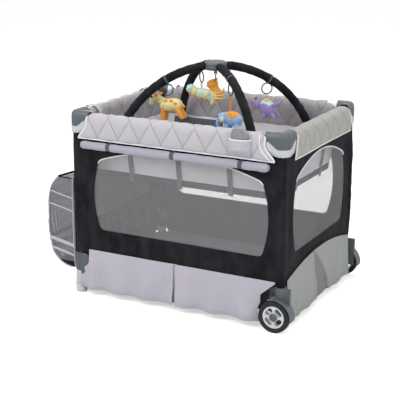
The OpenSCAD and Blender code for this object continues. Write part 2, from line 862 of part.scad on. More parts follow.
// Clip that holds the lower end of a leg against the bassinet wall
module arm_clip()
{
    reach = arch_r * sin(arm_sweep);
    z = arm_z0 + arch_r * cos(arm_sweep);
    x = reach * cos(arm_angle);
    y = reach * sin(arm_angle);
    wall_y = py - tub_in - tub_wall - tub_taper * (tub_top - z + 26) / tub_h;
    translate([x - 22, y - 12, z - 26]) cube([44, wall_y - 0.4 - y + 12, 22]);
}

module toy_bar_hub()
{
    color("#6b7076") translate([0, 0, bar_hub_low]) {
        cylinder(h = bar_hub_h - 6, r = bar_hub_r);
        translate([0, 0, bar_hub_h - 6]) cylinder(h = 6, r1 = bar_hub_r, r2 = bar_hub_r - 10);
        difference() {
            translate([-4, -7, -13]) cube([8, 14, 13]);
            translate([0, 0, -8]) rotate([0, 90, 0]) cylinder(h = 20, r = eye_r, center = true);
        }
    }
}

// Height and slope of a leg at a distance from the middle of the bar
function arm_height(reach) = arm_z0 + sqrt(arch_r * arch_r - reach * reach);
function arm_tilt(reach) = asin(reach / arch_r);

// The lowest place of a loop, where its strip starts
function hang_x(reach) = -loop_mid * sin(arm_tilt(reach));
function hang_z(reach) = -loop_mid * cos(arm_tilt(reach));

// Loop around a leg with a strip down into the toy, drawn at the origin of the hanging frame
module toy_loop(reach, drop)
{
    color("#55585c") translate([0, 0, arm_height(reach)]) {
        rotate([0, 90 + arm_tilt(reach), 0]) difference() {
            cylinder(h = loop_w, r = loop_mid + loop_t / 2, center = true);
            cylinder(h = loop_w + 2, r = loop_mid - loop_t / 2, center = true);
        }
        translate([hang_x(reach) - loop_t / 2, -loop_w / 2, -drop])
            cube([loop_t, loop_w, drop + hang_z(reach)]);
    }
}

// Puts a toy below the leg of a corner
module on_leg(sx, sy, reach)
{
    rotate([0, 0, arm_turn(sx, sy)]) translate([reach, 0, 0]) children();
}

// Hangs a form below the leg of a corner, on a loop
module hung_toy(sx, sy, reach, drop)
{
    on_leg(sx, sy, reach) {
        toy_loop(reach, drop);
        translate([hang_x(reach), 0, arm_height(reach) - drop])
            rotate([0, 0, -arm_turn(sx, sy)]) children();
    }
}

// A stuffed form of a given size, made from rounded shapes in a unit frame
module stuffed(size)
{
    resize(size) union() {
        $fn = 14;
        children();
    }
}

module ball(at, r)
{
    translate(at) sphere(r = r);
}

// A limb that swells from one end to the other
module limb(from, r1, to, r2)
{
    hull() {
        ball(from, r1);
        ball(to, r2);
    }
}

module toy_giraffe()
{
    color("#e9df8f") hung_toy(-1, -1, giraffe_reach, giraffe_drop)
        stuffed(giraffe_len * [1, 0.347, 0.733]) giraffe_form();
}

module giraffe_form()
{
    limb([0, 0, 0], 3, [3.4, 0, 0.6], 2.6);
    limb([-0.8, 0, 1], 2, [-4.6, 0, 4], 1.3);
    limb([-4.6, 0, 4], 1.6, [-6.2, 0, 3], 1.1);
    limb([0, 0, -1.6], 1.2, [0.2, 0, -5.6], 0.8);
    limb([4, 0, -0.4], 1.2, [6.6, 0, -3.4], 0.8);
}

module toy_worm()
{
    color("#bfe3cf") hung_toy(-1, 1, worm_reach, worm_drop)
        stuffed(worm_len * [1, 0.344, 0.516]) worm_form();
}

module worm_form()
{
    limb([-5, 0, 2.4], 1.6, [-4.4, 0, 0.6], 1.9);
    limb([-4.4, 0, 0.6], 1.9, [-1.4, 0, -0.6], 2.2);
    limb([-1.4, 0, -0.6], 2.2, [1.8, 0, -0.9], 2.2);
    limb([1.8, 0, -0.9], 2.2, [4.6, 0, -1.2], 2.5);
}

module toy_tiger()
{
    color("#f0a23c") {
        tiger_hook();
        translate([0, 0, eye_z - tiger_drop]) stuffed(tiger_h * [0.808, 0.596, 1]) tiger_form();
    }
}

// Yoke and strip that hang the toy from the eye under the middle piece
module tiger_hook()
{
    translate([0, 0, eye_z]) {
        rotate([0, 90, 0]) cylinder(h = 14, r = eye_r - run_fit, center = true);
        for (x = [-7, 5]) translate([x, -4, -12]) cube([2, 8, 15]);
        translate([-7, -4, -12]) cube([14, 8, 2]);
        translate([-1, -4, -tiger_drop]) cube([2, 8, tiger_drop - 11]);
    }
}

module tiger_form()
{
    ball([-1.6, 0, 3.4], 2.2);
    limb([-0.6, 0, 1.4], 2.2, [1, 0, -1.6], 2.7);
    limb([-1.8, 0, -0.4], 0.9, [-3.4, 0, -1.8], 0.8);
    limb([2.4, 0, 0.6], 0.9, [3.9, 0, 1.8], 0.8);
    limb([0, 0, -3], 1, [-0.8, 0, -5.2], 0.9);
    limb([2, 0, -3], 1, [2.8, 0, -5.2], 0.9);
}

module toy_elephant()
{
    color("#8db4de") hung_toy(1, -1, elephant_reach, elephant_drop)
        stuffed(elephant_len * [1, 0.571, 0.796]) elephant_form();
}

module elephant_form()
{
    limb([0, 0, 0.6], 2.9, [2.4, 0, 0.4], 2.7);
    ball([-3.4, 0, 0.4], 2.3);
    limb([-4.6, 0, -0.4], 1.2, [-4.8, 0, -3.6], 0.8);
    limb([-0.6, 0, -1.6], 1.2, [-0.8, 0, -3.8], 1.1);
    limb([3, 0, -1.6], 1.2, [3.2, 0, -3.8], 1.1);
    ball([-2.8, 1.7, 1], 1.5);
    ball([-2.8, -1.7, 1], 1.5);
}

module toy_bug()
{
    color("#8d7cc0") hung_toy(1, 1, bug_reach, bug_drop)
        stuffed(bug_len * [1, 0.536, 0.75]) bug_form();
}

module bug_form()
{
    ball([-4, 0, 1.2], 2.2);
    limb([0.4, 0, 0.6], 2.9, [1.6, 0, -0.6], 2.8);
    limb([2.6, 0, 1], 1, [4.8, 0, 2.2], 0.8);
    limb([2.6, 0, -1.6], 1, [4.4, 0, -3], 0.9);
    limb([0, 0, -2], 1, [-1, 0, -4], 0.9);
    limb([1.8, 0, -2.4], 1, [2, 0, -4.2], 0.9);
}

// Cover that is rolled up under the front flap
module cover_roll()
{
    waist = strap_w / 2 + 2;
    color("#c3c3cc") translate([0, -roll_y, roll_z]) rotate([0, 90, 0]) rotate_extrude() polygon(concat(
        [[0, -roll_len / 2], [roll_r - 4, -roll_len / 2], [roll_r, 10 - roll_len / 2]],
        [for (k = [-1:1]) for (p = [[0, -30], [-2, -waist], [-2, waist], [0, 30]])
            [roll_r + p.x, k * strap_gap + p.y]],
        [[roll_r, roll_len / 2 - 10], [roll_r - 4, roll_len / 2], [0, roll_len / 2]]));
}

module roll_straps()
{
    band_in = roll_r - 2 + side_fit;
    color("#5d6066") for (k = [-1:1]) translate([k * strap_gap, -roll_y, roll_z]) {
        rotate([0, 90, 0]) difference() {
            cylinder(h = strap_w, r = band_in + 1, center = true);
            cylinder(h = strap_w + 2, r = band_in, center = true);
        }
        translate([-strap_w / 2, 0, band_in]) cube([strap_w, roll_r, 1]);
        translate([-strap_w / 2, roll_r - 1, band_in]) cube([strap_w, 1, strap_up]);
    }
}

// Bag on the left end, open at the top, hung by two straps hooked over the rail cover
module organiser_bag()
{
    profile = [[0, 0], [0.28, 0], [0.62, 0.05], [0.89, 0.16], [1, 0.36], [1, 0.53],
        [0.96, 0.74], [0.81, 0.9], [0.56, 1], [0, 1]];
    color("#777a80") translate([-bag_x, bag_w / 2, bag_low]) rotate([90, 0, 0]) difference() {
        linear_extrude(bag_w) polygon([for (p = profile) [-p.x * bag_d, p.y * bag_h]]);
        translate([0, 0, bag_wall]) linear_extrude(bag_w - 2 * bag_wall) polygon(
            [for (p = profile) [-bag_wall - p.x * (bag_d - 2 * bag_wall), bag_wall + p.y * bag_h]]);
    }
    color(grey_cloth) for (s = [-1, 1]) translate([-bag_x, s * bag_w / 3, 0]) {
        translate([-2, -15, bag_low + bag_h]) cube([2, 30, cover_top + side_fit + 2 - bag_low - bag_h]);
        translate([-2, -15, cover_top + side_fit]) cube([hook_reach + 4, 30, 2]);
        translate([hook_reach, -15, tub_top - hook_drop])
            cube([2, 30, cover_top + side_fit + 2 - tub_top + hook_drop]);
    }
}

base_hub();
floor_cloth();
for (c = CORNERS) {
    at_corner(c[1], c[2]) base_leg();
    at_corner(c[1], c[2]) corner_post();
    at_corner(c[1], c[2]) corner_cap();
}
for (c = LEFT_CORNERS)
    at_corner(c[1], c[2]) foot();
for (c = RIGHT_CORNERS) {
    at_corner(c[1], c[2]) wheel_bracket();
    at_corner(c[1], c[2]) wheel_tyre();
    at_corner(c[1], c[2]) wheel_rim();
}
for (s = LONG_SIDES) for (e = END_SIDES) {
    at_corner(e[1], s[1]) long_rail(e[1] < 0);
    at_corner(e[1], s[1]) end_rail(s[1] < 0);
}
for (s = LONG_SIDES) {
    at_side(-s[1]) latch_button(true);
    at_side(s[1]) long_wall();
    at_side(s[1]) long_skirt();
}
for (e = END_SIDES) {
    at_end(-e[1]) latch_button(false);
    at_end(e[1]) end_wall();
    at_end(e[1]) end_skirt();
}
bassinet_tub();
quilted_cover();
right_cover();
mattress_pad();
toy_bar_legs();
toy_bar_hub();
toy_giraffe();
toy_worm();
toy_tiger();
toy_elephant();
toy_bug();
cover_roll();
roll_straps();
sound_unit();
organiser_bag();
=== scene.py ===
import math

import bmesh
import bpy
from bpy.props import FloatProperty, FloatVectorProperty, IntProperty, PointerProperty
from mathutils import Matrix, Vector, noise


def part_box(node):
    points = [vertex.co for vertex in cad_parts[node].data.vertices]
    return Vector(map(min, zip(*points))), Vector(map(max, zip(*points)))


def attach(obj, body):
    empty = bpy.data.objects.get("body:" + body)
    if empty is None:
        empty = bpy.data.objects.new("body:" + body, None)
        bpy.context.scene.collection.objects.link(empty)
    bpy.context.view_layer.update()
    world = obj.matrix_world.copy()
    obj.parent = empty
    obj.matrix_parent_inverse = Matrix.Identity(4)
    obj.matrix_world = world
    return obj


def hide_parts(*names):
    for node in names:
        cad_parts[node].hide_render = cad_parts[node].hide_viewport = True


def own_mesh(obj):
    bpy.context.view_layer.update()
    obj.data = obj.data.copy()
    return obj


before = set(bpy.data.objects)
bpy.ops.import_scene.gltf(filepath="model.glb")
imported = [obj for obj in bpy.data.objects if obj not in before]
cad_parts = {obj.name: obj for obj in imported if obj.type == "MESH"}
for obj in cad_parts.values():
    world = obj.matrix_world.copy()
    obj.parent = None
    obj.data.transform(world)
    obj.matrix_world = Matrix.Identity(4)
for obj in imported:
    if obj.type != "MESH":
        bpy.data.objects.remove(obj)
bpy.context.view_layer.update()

bl_info = {
    "name": "Travel play yard",
    "version": (1, 0, 0),
    "blender": (4, 5, 0),
    "location": "3D View > Sidebar > Play yard",
    "description": "Dresses the packed play yard with cloth, mesh, padding, plush and plastic",
    "category": "Object",
}


def node_middle(node, axis):
    low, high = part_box(node)
    return (low[axis] + high[axis]) / 2


# Lines of the frame that the soft pieces hang from
POST_X = node_middle("corner_post_front_right", 0)
POST_Y = node_middle("corner_post_back_right", 1)
POST_R = (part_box("corner_post_back_right")[1][0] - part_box("corner_post_back_right")[0][0]) / 2
WALL_OUT = -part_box("wall_front")[0][1] - POST_Y
WALL_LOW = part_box("wall_front")[0][2]
WALL_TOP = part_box("wall_front")[1][2]
CAP_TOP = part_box("corner_cap_front_right")[1][2]
COVER_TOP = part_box("quilted_cover")[1][2]
CORNERS = {"front_left": (-1, -1), "front_right": (1, -1), "back_left": (-1, 1), "back_right": (1, 1)}
SIDES = ("front", "right", "back", "left")
LONG_SIDES = ("front", "back")
# End of a long side at which its wheel is
WHEEL_END = {"front": 1, "back": -1}


def length(name, description, default):
    return FloatProperty(name=name, description=description, default=default, unit="LENGTH")


def colour(name, description, red, green, blue):
    return FloatVectorProperty(
        name=name, description=description, subtype="COLOR", size=3, min=0, max=1,
        default=(red, green, blue))


class YardSizes(bpy.types.PropertyGroup):
    """Sizes of the soft pieces."""

    window_low: length("Window bottom", "Bottom of the mesh windows above the floor", 0.298)
    window_side: length("Window side", "Height of a window at its upper corners", 0.302)
    window_arch: length("Window arch", "Rise of the arched top of a window", 0.066)
    window_half_long: length("Long window half", "Half width of a long window at its lower corners", 0.372)
    window_half_end: length("End window half", "Half width of an end window at its lower corners", 0.25)
    window_bulge: length("Window bulge", "Outward curve of the sides of a window", 0.028)
    skirt_top: length("Skirt top", "Top of the long skirts above the floor", 0.204)
    skirt_low: length("Skirt bottom", "Bottom of the skirts above the floor", 0.028)
    skirt_arch: length("Skirt arch", "Rise of the arched top of the end skirts", 0.046)
    piping_radius: length("Piping radius", "Radius of the white piping", 0.0031)
    quilt_width: length("Quilt width", "Width of a quilted diamond", 0.1)
    quilt_height: length("Quilt height", "Height of a quilted diamond", 0.16)
    quilt_puff: length("Quilt puff", "How far a quilted diamond stands out", 0.008)
    quilt_wave: length("Quilt wave", "How far the quilted seams bend", 0.003)
    cover_drop: length("Cover drop", "Depth of the outer side of the rail covers", 0.1)
    band_drop: length("Inner band drop", "Depth of the inner side of the rail covers", 0.12)
    roll_radius: length("Roll radius", "Radius of the rolled cover", 0.0168)
    leg_radius: length("Toy bar radius", "Radius of the padded legs of the toy bar", 0.018)
    mattress_panels: IntProperty(
        name="Mattress panels", description="Number of folding panels of the mattress", default=4)


class YardColours(bpy.types.PropertyGroup):
    """Colours of the finishes."""

    wall_cloth: colour("Wall cloth", "Black cloth of the walls, sleeves and bag", 0.0085, 0.0085, 0.0105)
    net: colour("Window mesh", "Threads of the window mesh", 0.465, 0.46, 0.47)
    pale_cloth: colour("Pale cloth", "Lilac-grey cloth of pocket, mattress and stripes", 0.54, 0.51, 0.56)
    # Lilac-grey cloth of the roll, darkened with painted shade from the flap above it
    roll_cloth: colour("Roll", "Lilac-grey cloth of the rolled cover", 0.42, 0.41, 0.47)
    quilt_cloth: colour("Quilted cloth", "Lilac-grey cloth of the long and left covers", 0.52, 0.495, 0.525)
    # Quilted cloth darkened with painted shade, for the inner sides of the covers
    inner_quilt: colour("Inner quilt", "Cloth of the inner sides of the covers", 0.36, 0.34, 0.35)
    # Warm grey tint of the right cover's own, darkened with painted shade of the shaded right end
    end_quilt: colour("End quilt", "Warm grey cloth of the right cover", 0.4, 0.39, 0.36)
    skirt_cloth: colour("Skirt cloth", "Cloth of the long skirts", 0.52, 0.49, 0.55)
    # Greenish grey of the end skirts' own, darkened with painted shade of the shaded ends
    end_skirt: colour("End skirt", "Cloth of the end skirts", 0.36, 0.37, 0.35)
    # Darker grey for the pleats and slits, partly their own cloth and partly painted shade of the recess
    pleat_cloth: colour("Pleat", "Inside of the pleats and slits of the skirts", 0.25, 0.245, 0.25)
    tub_cloth: colour("Bassinet cloth", "Cloth of the bassinet walls", 0.84, 0.83, 0.85)
    strap: colour("Straps", "Dark grey webbing", 0.1, 0.105, 0.115)
    piping: colour("Piping", "White piping", 0.85, 0.85, 0.86)
    floor_cloth: colour("Floor cloth", "Cloth of the floor", 0.24, 0.24, 0.25)
    bag_net: colour("Bag mesh", "Mesh of the organiser bag", 0.19, 0.185, 0.195)
    dark_plastic: colour("Dark plastic", "Caps, brackets and hinges", 0.078, 0.088, 0.098)
    pale_plastic: colour("Pale plastic", "Collars and rims", 0.46, 0.47, 0.47)
    white_plastic: colour("White plastic", "Inner ends of the caps", 0.8, 0.79, 0.8)
    foot_plastic: colour("Foot plastic", "Lower part of the plain feet", 0.46, 0.47, 0.46)
    unit_plastic: colour("Unit plastic", "Smoky shell of the sound unit", 0.22, 0.23, 0.24)
    steel: colour("Steel", "Tubes and pins", 0.55, 0.56, 0.58)
    tyre: colour("Tyre", "Rubber of the wheels", 0.012, 0.012, 0.013)
    yellow: colour("Yellow plush", "Yellow toys", 0.84, 0.74, 0.34)
    orange: colour("Orange plush", "Orange toys", 0.85, 0.36, 0.06)
    mint: colour("Mint plush", "Mint toys", 0.58, 0.82, 0.7)
    blue: colour("Blue plush", "Blue toys", 0.32, 0.51, 0.78)
    purple: colour("Purple plush", "Purple toys", 0.36, 0.27, 0.54)


class YardCamera(bpy.types.PropertyGroup):
    """Place of the camera."""

    azimuth: FloatProperty(
        name="Azimuth", description="Angle of the camera to the right of the front",
        default=math.radians(27.93), subtype="ANGLE")
    elevation: FloatProperty(
        name="Elevation", description="Angle of the camera above the floor",
        default=math.radians(16.18), subtype="ANGLE")
    distance: length("Distance", "Distance from the point looked at", 4.74)
    lens: FloatProperty(
        name="Lens", description="Focal length on a 36 mm sensor", default=97.56, unit="CAMERA")
    target: FloatVectorProperty(
        name="Target", description="Point looked at", size=3, subtype="XYZ",
        default=(-0.074, 0.0, 0.373))


def sizes():
    return bpy.context.scene.yard_sizes


def colours():
    return bpy.context.scene.yard_colours


def mix(a, b, share):
    return a + (b - a) * share


def ease(share):
    share = min(max(share, 0.0), 1.0)
    return share * share * (3 - 2 * share)


def turns(count):
    """Angles spread evenly round a circle."""
    return [math.tau * k / count for k in range(count)]


def crumple(x, y, seed, rough=3):
    """Smooth unevenness between about -1 and 1."""
    return noise.fractal(Vector((x, y, seed)), 0.9, 2.0, rough)


def smooth_curve(points, count):
    """Points evenly spread by share along a smooth curve through the given points."""
    last = len(points) - 1
    made = []
    for k in range(count + 1):
        t = k / count * last
        i = min(int(t), last - 1)
        f = t - i
        p0, p1, p2, p3 = (Vector(points[min(max(i + d, 0), last)]) for d in (-1, 0, 1, 2))
        made.append(0.5 * (2 * p1 + (p2 - p0) * f + (2 * p0 - 5 * p1 + 4 * p2 - p3) * f ** 2
                           + (3 * p1 - p0 - 3 * p2 + p3) * f ** 3))
    return made


def on_side(side):
    """Maps a place along a side, its height and its distance out from the posts to the frame."""
    return {
        "front": lambda s, z, out: Vector((s, -POST_Y - out, z)),
        "back": lambda s, z, out: Vector((-s, POST_Y + out, z)),
        "right": lambda s, z, out: Vector((POST_X + out, s, z)),
        "left": lambda s, z, out: Vector((-POST_X - out, -s, z)),
    }[side]


def spokes(axis):
    """Gives the direction at an angle round an axis."""
    one = axis.orthogonal().normalized()
    two = axis.cross(one)
    return lambda turn: one * math.cos(turn) + two * math.sin(turn)


def step_of(put, along=0, up=0, out=0):
    """A step along, up or out from a side, as a direction."""
    return put(along, up, out) - put(0, 0, 0)


class Shape:
    """Collects the faces of one piece, each with the number of the finish that it takes."""

    def __init__(self):
        self.points, self.faces, self.finishes, self.cut = [], [], [], []

    def grid(self, columns, rows, place, finish=0, ring=False, flat=None):
        """A sheet; place takes the shares across and up, and finish and flat may too."""
        start, across = len(self.points), columns if ring else columns + 1
        for j in range(rows + 1):
            for i in range(across):
                self.points.append(Vector(place(i / columns, j / rows)))
                if flat:
                    self.cut.append((*flat(i / columns, j / rows), 0.0))
        for j in range(rows):
            for i in range(columns):
                a, b = start + j * across + i, start + j * across + (i + 1) % across
                self.faces.append((a, b, b + across, a + across))
                self.finishes.append(
                    finish((i + 0.5) / columns, (j + 0.5) / rows) if callable(finish) else finish)

    def tube(self, path, radius, sides=8, finish=0, closed=False):
        """A round bar along a path."""
        path = [Vector(p) for p in path]
        last, across, rings = len(path) - 1, None, []
        for k, p in enumerate(path):
            ahead = path[(k + 1) % len(path)] if closed or k < last else p
            behind = path[k - 1] if closed or k > 0 else p
            along = (ahead - behind).normalized()
            across = along.orthogonal() if across is None else across
            across = (across - along * across.dot(along)).normalized()
            r = radius(k / last) if callable(radius) else radius
            rings.append(range(len(self.points), len(self.points) + sides))
            for a in turns(sides):
                self.points.append(p + (across * math.cos(a) + along.cross(across) * math.sin(a)) * r)
        for k in range(len(path) if closed else last):
            one, two = rings[k], rings[(k + 1) % len(path)]
            for i in range(sides):
                self.faces.append((one[i], one[(i + 1) % sides], two[(i + 1) % sides], two[i]))
                self.finishes.append(finish)
        if not closed:
            self.faces += [tuple(reversed(rings[0])), tuple(rings[-1])]
            self.finishes += [finish, finish]

    def lathe(self, profile, origin, axis, sides=48, finish=0):
        """A turned form: profile holds radius, place along the axis."""
        axis = Vector(axis).normalized()
        spoke, last = spokes(axis), len(profile) - 1

        def place(i, j):
            radius, along = profile[round(j * last)]
            return Vector(origin) + axis * along + spoke(math.tau * i) * radius

        self.grid(sides, last, place, finish, ring=True)

    def limb(self, start, r1, end, r2, finish=0, sides=18, rows=16):
        """A stuffed limb that swells from one end to the other."""
        start, end = Vector(start), Vector(end)
        axis = (end - start).normalized() if (end - start).length > 1e-6 else Vector((0, 0, 1))
        spoke = spokes(axis)

        def place(i, j):
            bend = (j - 0.5) * math.pi
            share = ease((j - 0.25) * 2)
            r = mix(r1, r2, share)
            middle = start.lerp(end, share) + axis * math.sin(bend) * r
            return middle + spoke(math.tau * i) * math.cos(bend) * r

        self.grid(sides, rows, place, finish, ring=True)

    def ribbon(self, path, across, width, finish=0, columns=4):
        """A flat strip along a path."""
        across = Vector(across).normalized()
        path = [Vector(p) for p in path]
        last = len(path) - 1
        self.grid(columns, last, lambda i, j: path[round(j * last)] + across * (i - 0.5) * width, finish)

    def piece(self, name, finishes, body, thickness=0.0, offset=-1.0, outward=False):
        """Makes the object from the names of its finishes, and lets it ride on a body."""
        mesh = bpy.data.meshes.new(name)
        mesh.from_pydata([tuple(p) for p in self.points], [], self.faces)
        for coat in finishes:
            mesh.materials.append(finish(coat))
        mesh.polygons.foreach_set("material_index", self.finishes)
        mesh.polygons.foreach_set("use_smooth", [True] * len(self.faces))
        if self.cut:
            cut = mesh.attributes.new("cut", "FLOAT_VECTOR", "POINT")
            cut.data.foreach_set("vector", [c for spot in self.cut for c in spot])
        form = bmesh.new()
        form.from_mesh(mesh)
        bmesh.ops.remove_doubles(form, verts=form.verts, dist=1e-6)
        bmesh.ops.dissolve_degenerate(form, edges=form.edges, dist=1e-7)
        if outward:
            bmesh.ops.recalc_face_normals(form, faces=form.faces)
        form.to_mesh(mesh)
        form.free()
        obj = bpy.data.objects.new(name, mesh)
        bpy.context.scene.collection.objects.link(obj)
        if thickness:
            solid = obj.modifiers.new("Thickness", "SOLIDIFY")
            solid.thickness, solid.offset = thickness, offset
            apply_modifiers(obj)
        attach(obj, body)
        return obj


def piped_edge(name, *edges, closed=False):
    """White piping along edges, each with its share of the piping's radius."""
    trim = Shape()
    for path, share in edges:
        trim.tube(path, sizes().piping_radius * share, closed=closed)
    made = trim.piece(name, ["piping"], "bassinet")


def apply_modifiers(obj):
    """Makes the modified mesh the piece's own."""
    bpy.context.view_layer.update()
    graph = bpy.context.evaluated_depsgraph_get()
    made = bpy.data.meshes.new_from_object(
        obj.evaluated_get(graph), preserve_all_data_layers=True, depsgraph=graph)
    obj.modifiers.clear()
    plain, obj.data = obj.data, made
    made.name = obj.name
    bpy.data.meshes.remove(plain)


class Finish:
    """A node material under construction."""

    def __init__(self, name, tint, roughness, **sockets):
        self.material = bpy.data.materials.new("yard_" + name)
        self.material.use_nodes = True
        self.nodes, self.links = self.material.node_tree.nodes, self.material.node_tree.links
        self.shader = self.nodes["Principled BSDF"]
        self.tint = tuple(tint)
        self.shader.inputs["Base Color"].default_value = (*tint, 1)
        self.shader.inputs["Roughness"].default_value = roughness
        for socket, value in sockets.items():
            self.shader.inputs[socket.replace("_", " ")].default_value = value
        self.place = self.nodes.new("ShaderNodeTexCoord").outputs["Object"]
        self.height = None

    def add(self, kind, **settings):
        node = self.nodes.new(kind)
        for name, value in settings.items():
            setattr(node, name, value)
        return node

    def noise(self, scale, detail=3.0, stretch=(1, 1, 1)):
        """Fine unevenness, as a value."""
        lie = self.add("ShaderNodeMapping")
        lie.inputs["Scale"].default_value = stretch
        self.links.new(self.place, lie.inputs["Vector"])
        grain = self.add("ShaderNodeTexNoise")
        grain.inputs["Scale"].default_value = scale
        grain.inputs["Detail"].default_value = detail
        self.links.new(lie.outputs["Vector"], grain.inputs["Vector"])
        return grain.outputs["Fac"]

    def thread(self, direction, pitch, wave="SINE"):
        """Parallel threads, as a value."""
        run = self.add("ShaderNodeVectorMath", operation="DOT_PRODUCT")
        run.inputs[1].default_value = Vector(direction) * math.tau / pitch
        self.links.new(self.place, run.inputs[0])
        return self.math(wave, run.outputs["Value"])

    def between(self, value, low, high):
        """The share of the way that a value is from low to high."""
        spread = self.add("ShaderNodeMapRange")
        spread.inputs["From Min"].default_value, spread.inputs["From Max"].default_value = low, high
        self.links.new(value, spread.inputs["Value"])
        return spread.outputs["Result"]

    def math(self, operation, first, second=0.0):
        node = self.add("ShaderNodeMath", operation=operation)
        for socket, value in zip(node.inputs, (first, second)):
            if isinstance(value, (int, float)):
                socket.default_value = value
            else:
                self.links.new(value, socket)
        return node.outputs["Value"]

    def shade(self, value, low, high, dark=0.8, light=1.12):
        """Colour that varies with a value."""
        ramp = self.add("ShaderNodeValToRGB")
        ramp.color_ramp.elements[0].position, ramp.color_ramp.elements[1].position = low, high
        ramp.color_ramp.elements[0].color = (*(c * dark for c in self.tint), 1)
        ramp.color_ramp.elements[1].color = (*(min(c * light, 1) for c in self.tint), 1)
        self.links.new(value, ramp.inputs["Fac"])
        self.links.new(ramp.outputs["Color"], self.shader.inputs["Base Color"])

    def gloss(self, value, low, high):
        """Roughness that varies with a value."""
        spread = self.add("ShaderNodeMapRange")
        spread.inputs["To Min"].default_value, spread.inputs["To Max"].default_value = low, high
        self.links.new(value, spread.inputs["Value"])
        self.links.new(spread.outputs["Result"], self.shader.inputs["Roughness"])

    def bump(self, value, depth, strength=1.0):
        """Relief from a value, over any relief that is there."""
        relief = self.add("ShaderNodeBump")
        relief.inputs["Distance"].default_value = depth
        relief.inputs["Strength"].default_value = strength
        self.links.new(value, relief.inputs["Height"])
        if self.height is not None:
            self.links.new(self.height, relief.inputs["Normal"])
        self.height = relief.outputs["Normal"]
        self.links.new(self.height, self.shader.inputs["Normal"])


# Two thread directions that cross on every face of the yard
WARP, WEFT = (0.95, 0.95, 0.3), (-0.3, 0.3, 1.0)


def woven(name, tint, pitch=0.0016, relief=0.0004, dark=0.88, light=1.08, roughness=0.88, sheen=0.1):
    """Plain woven cloth with slight unevenness of dye."""
    made = Finish(name, tint, roughness, Sheen_Weight=sheen, Specular_IOR_Level=0.2)
    weave = made.math("MULTIPLY", made.thread(WARP, pitch), made.thread(WEFT, pitch))
    made.tone = made.math("ADD", made.math("MULTIPLY", made.noise(420, 3), 0.75),
                          made.math("MULTIPLY", made.noise(8, 3), 0.25))
    made.shade(made.tone, 0.32, 0.68, dark, light)
    made.gloss(made.noise(90, 2), roughness - 0.08, roughness + 0.06)
    made.bump(weave, relief, 0.5)
    made.bump(made.noise(160, 3), relief * 2, 0.3)
    return made


def quilted(name, tint):
    """Cloth quilted in wavy diamonds, with stitches sunk in the seams and painted shade darkening the seam
    lines.
    """
    s = sizes()
    made = woven(name, tint)
    cut = made.add("ShaderNodeAttribute", attribute_name="cut")
    flat = made.add("ShaderNodeSeparateXYZ")
    made.links.new(cut.outputs["Vector"], flat.inputs["Vector"])
    across, along = flat.outputs["X"], flat.outputs["Y"]
    wave = made.math("SINE", made.math("MULTIPLY", along, math.tau / s.quilt_height))
    bent = made.math("ADD", across, made.math("MULTIPLY", wave, s.quilt_wave))
    one = made.math("MULTIPLY", bent, math.pi / s.quilt_width)
    two = made.math("MULTIPLY", along, math.pi / s.quilt_height)
    seams = [made.math("ABSOLUTE", made.math("SINE", made.math(way, one, two)))
             for way in ("ADD", "SUBTRACT")]
    near = made.math("MINIMUM", *seams)
    # Mask that is low along the seams: painted shade in the sunk seams, and the seams' bump
    line = made.between(near, 0.0, 0.13)
    stitch = made.math("GREATER_THAN", made.math("SINE", made.math("MULTIPLY", along, math.tau / 0.006)), 0.3)
    thread = made.math("MULTIPLY", stitch, made.math("LESS_THAN", near, 0.03))
    stitches_and_seam_shade = made.math("ADD", line, made.math("MULTIPLY", thread, 0.3))
    tone = made.math("ADD", made.math("MULTIPLY", made.tone, 0.3), 0.7)
    # Painted shade: the seam lines darken to 0.68 of the tint, and the stitches lighten them a little
    made.shade(made.math("MULTIPLY", stitches_and_seam_shade, tone), 0.0, 0.86, 0.68, 1.05)
    made.bump(line, 0.0012, 0.6)
    return made


def net(name, tint, pitch=0.0019, cover=-0.82):
    """Open knitted mesh: threads with holes between them."""
    made = Finish(name, tint, 0.8, Specular_IOR_Level=0.2)
    one = made.thread((0.866, 0.866, 0.5), pitch, "COSINE")
    two = made.thread((0.866, 0.866, -0.5), pitch, "COSINE")
    three = made.thread((0.0, 0.0, 1.0), pitch, "COSINE")
    open_part = made.math("ADD", made.math("ADD", one, two), three)
    made.links.new(made.math("LESS_THAN", open_part, cover), made.shader.inputs["Alpha"])
    made.shade(made.noise(300, 3), 0.3, 0.7, 0.88, 1.08)
    made.bump(open_part, 0.0004, 0.4)
    return made


def moulded(name, tint, roughness=0.42):
    """Moulded plastic with fine grain and paler worn edges."""
    made = Finish(name, tint, roughness, Specular_IOR_Level=0.5)
    wear = made.math("ADD", made.nodes.new("ShaderNodeNewGeometry").outputs["Pointiness"],
                     made.math("MULTIPLY", made.noise(40, 4), 0.12))
    made.shade(wear, 0.5, 0.66, 0.94, 1.35)
    made.gloss(made.noise(120, 3), roughness - 0.06, roughness + 0.12)
    made.bump(made.noise(900, 2), 0.0002, 0.25)
    return made


def two_tone(name, tint, upper, level):
    """Moulded plastic whose upper part, above a level, has another colour."""
    made = moulded(name, tint)
    up = made.add("ShaderNodeSeparateXYZ")
    made.links.new(made.place, up.inputs["Vector"])
    blend = made.add("ShaderNodeMix", data_type="RGBA")
    made.links.new(made.between(up.outputs["Z"], level - 0.001, level + 0.001), blend.inputs["Factor"])
    made.links.new(made.shader.inputs["Base Color"].links[0].from_socket, blend.inputs["A"])
    blend.inputs["B"].default_value = (*upper, 1)
    made.links.new(blend.outputs["Result"], made.shader.inputs["Base Color"])
    return made


def metal(name, tint):
    """Drawn steel tube."""
    made = Finish(name, tint, 0.3, Metallic=1.0)
    made.shade(made.noise(18, 4), 0.3, 0.7, 0.86, 1.08)
    made.gloss(made.noise(60, 4, (1, 1, 0.08)), 0.24, 0.42)
    made.bump(made.noise(300, 2, (1, 1, 0.05)), 0.0001, 0.2)
    return made


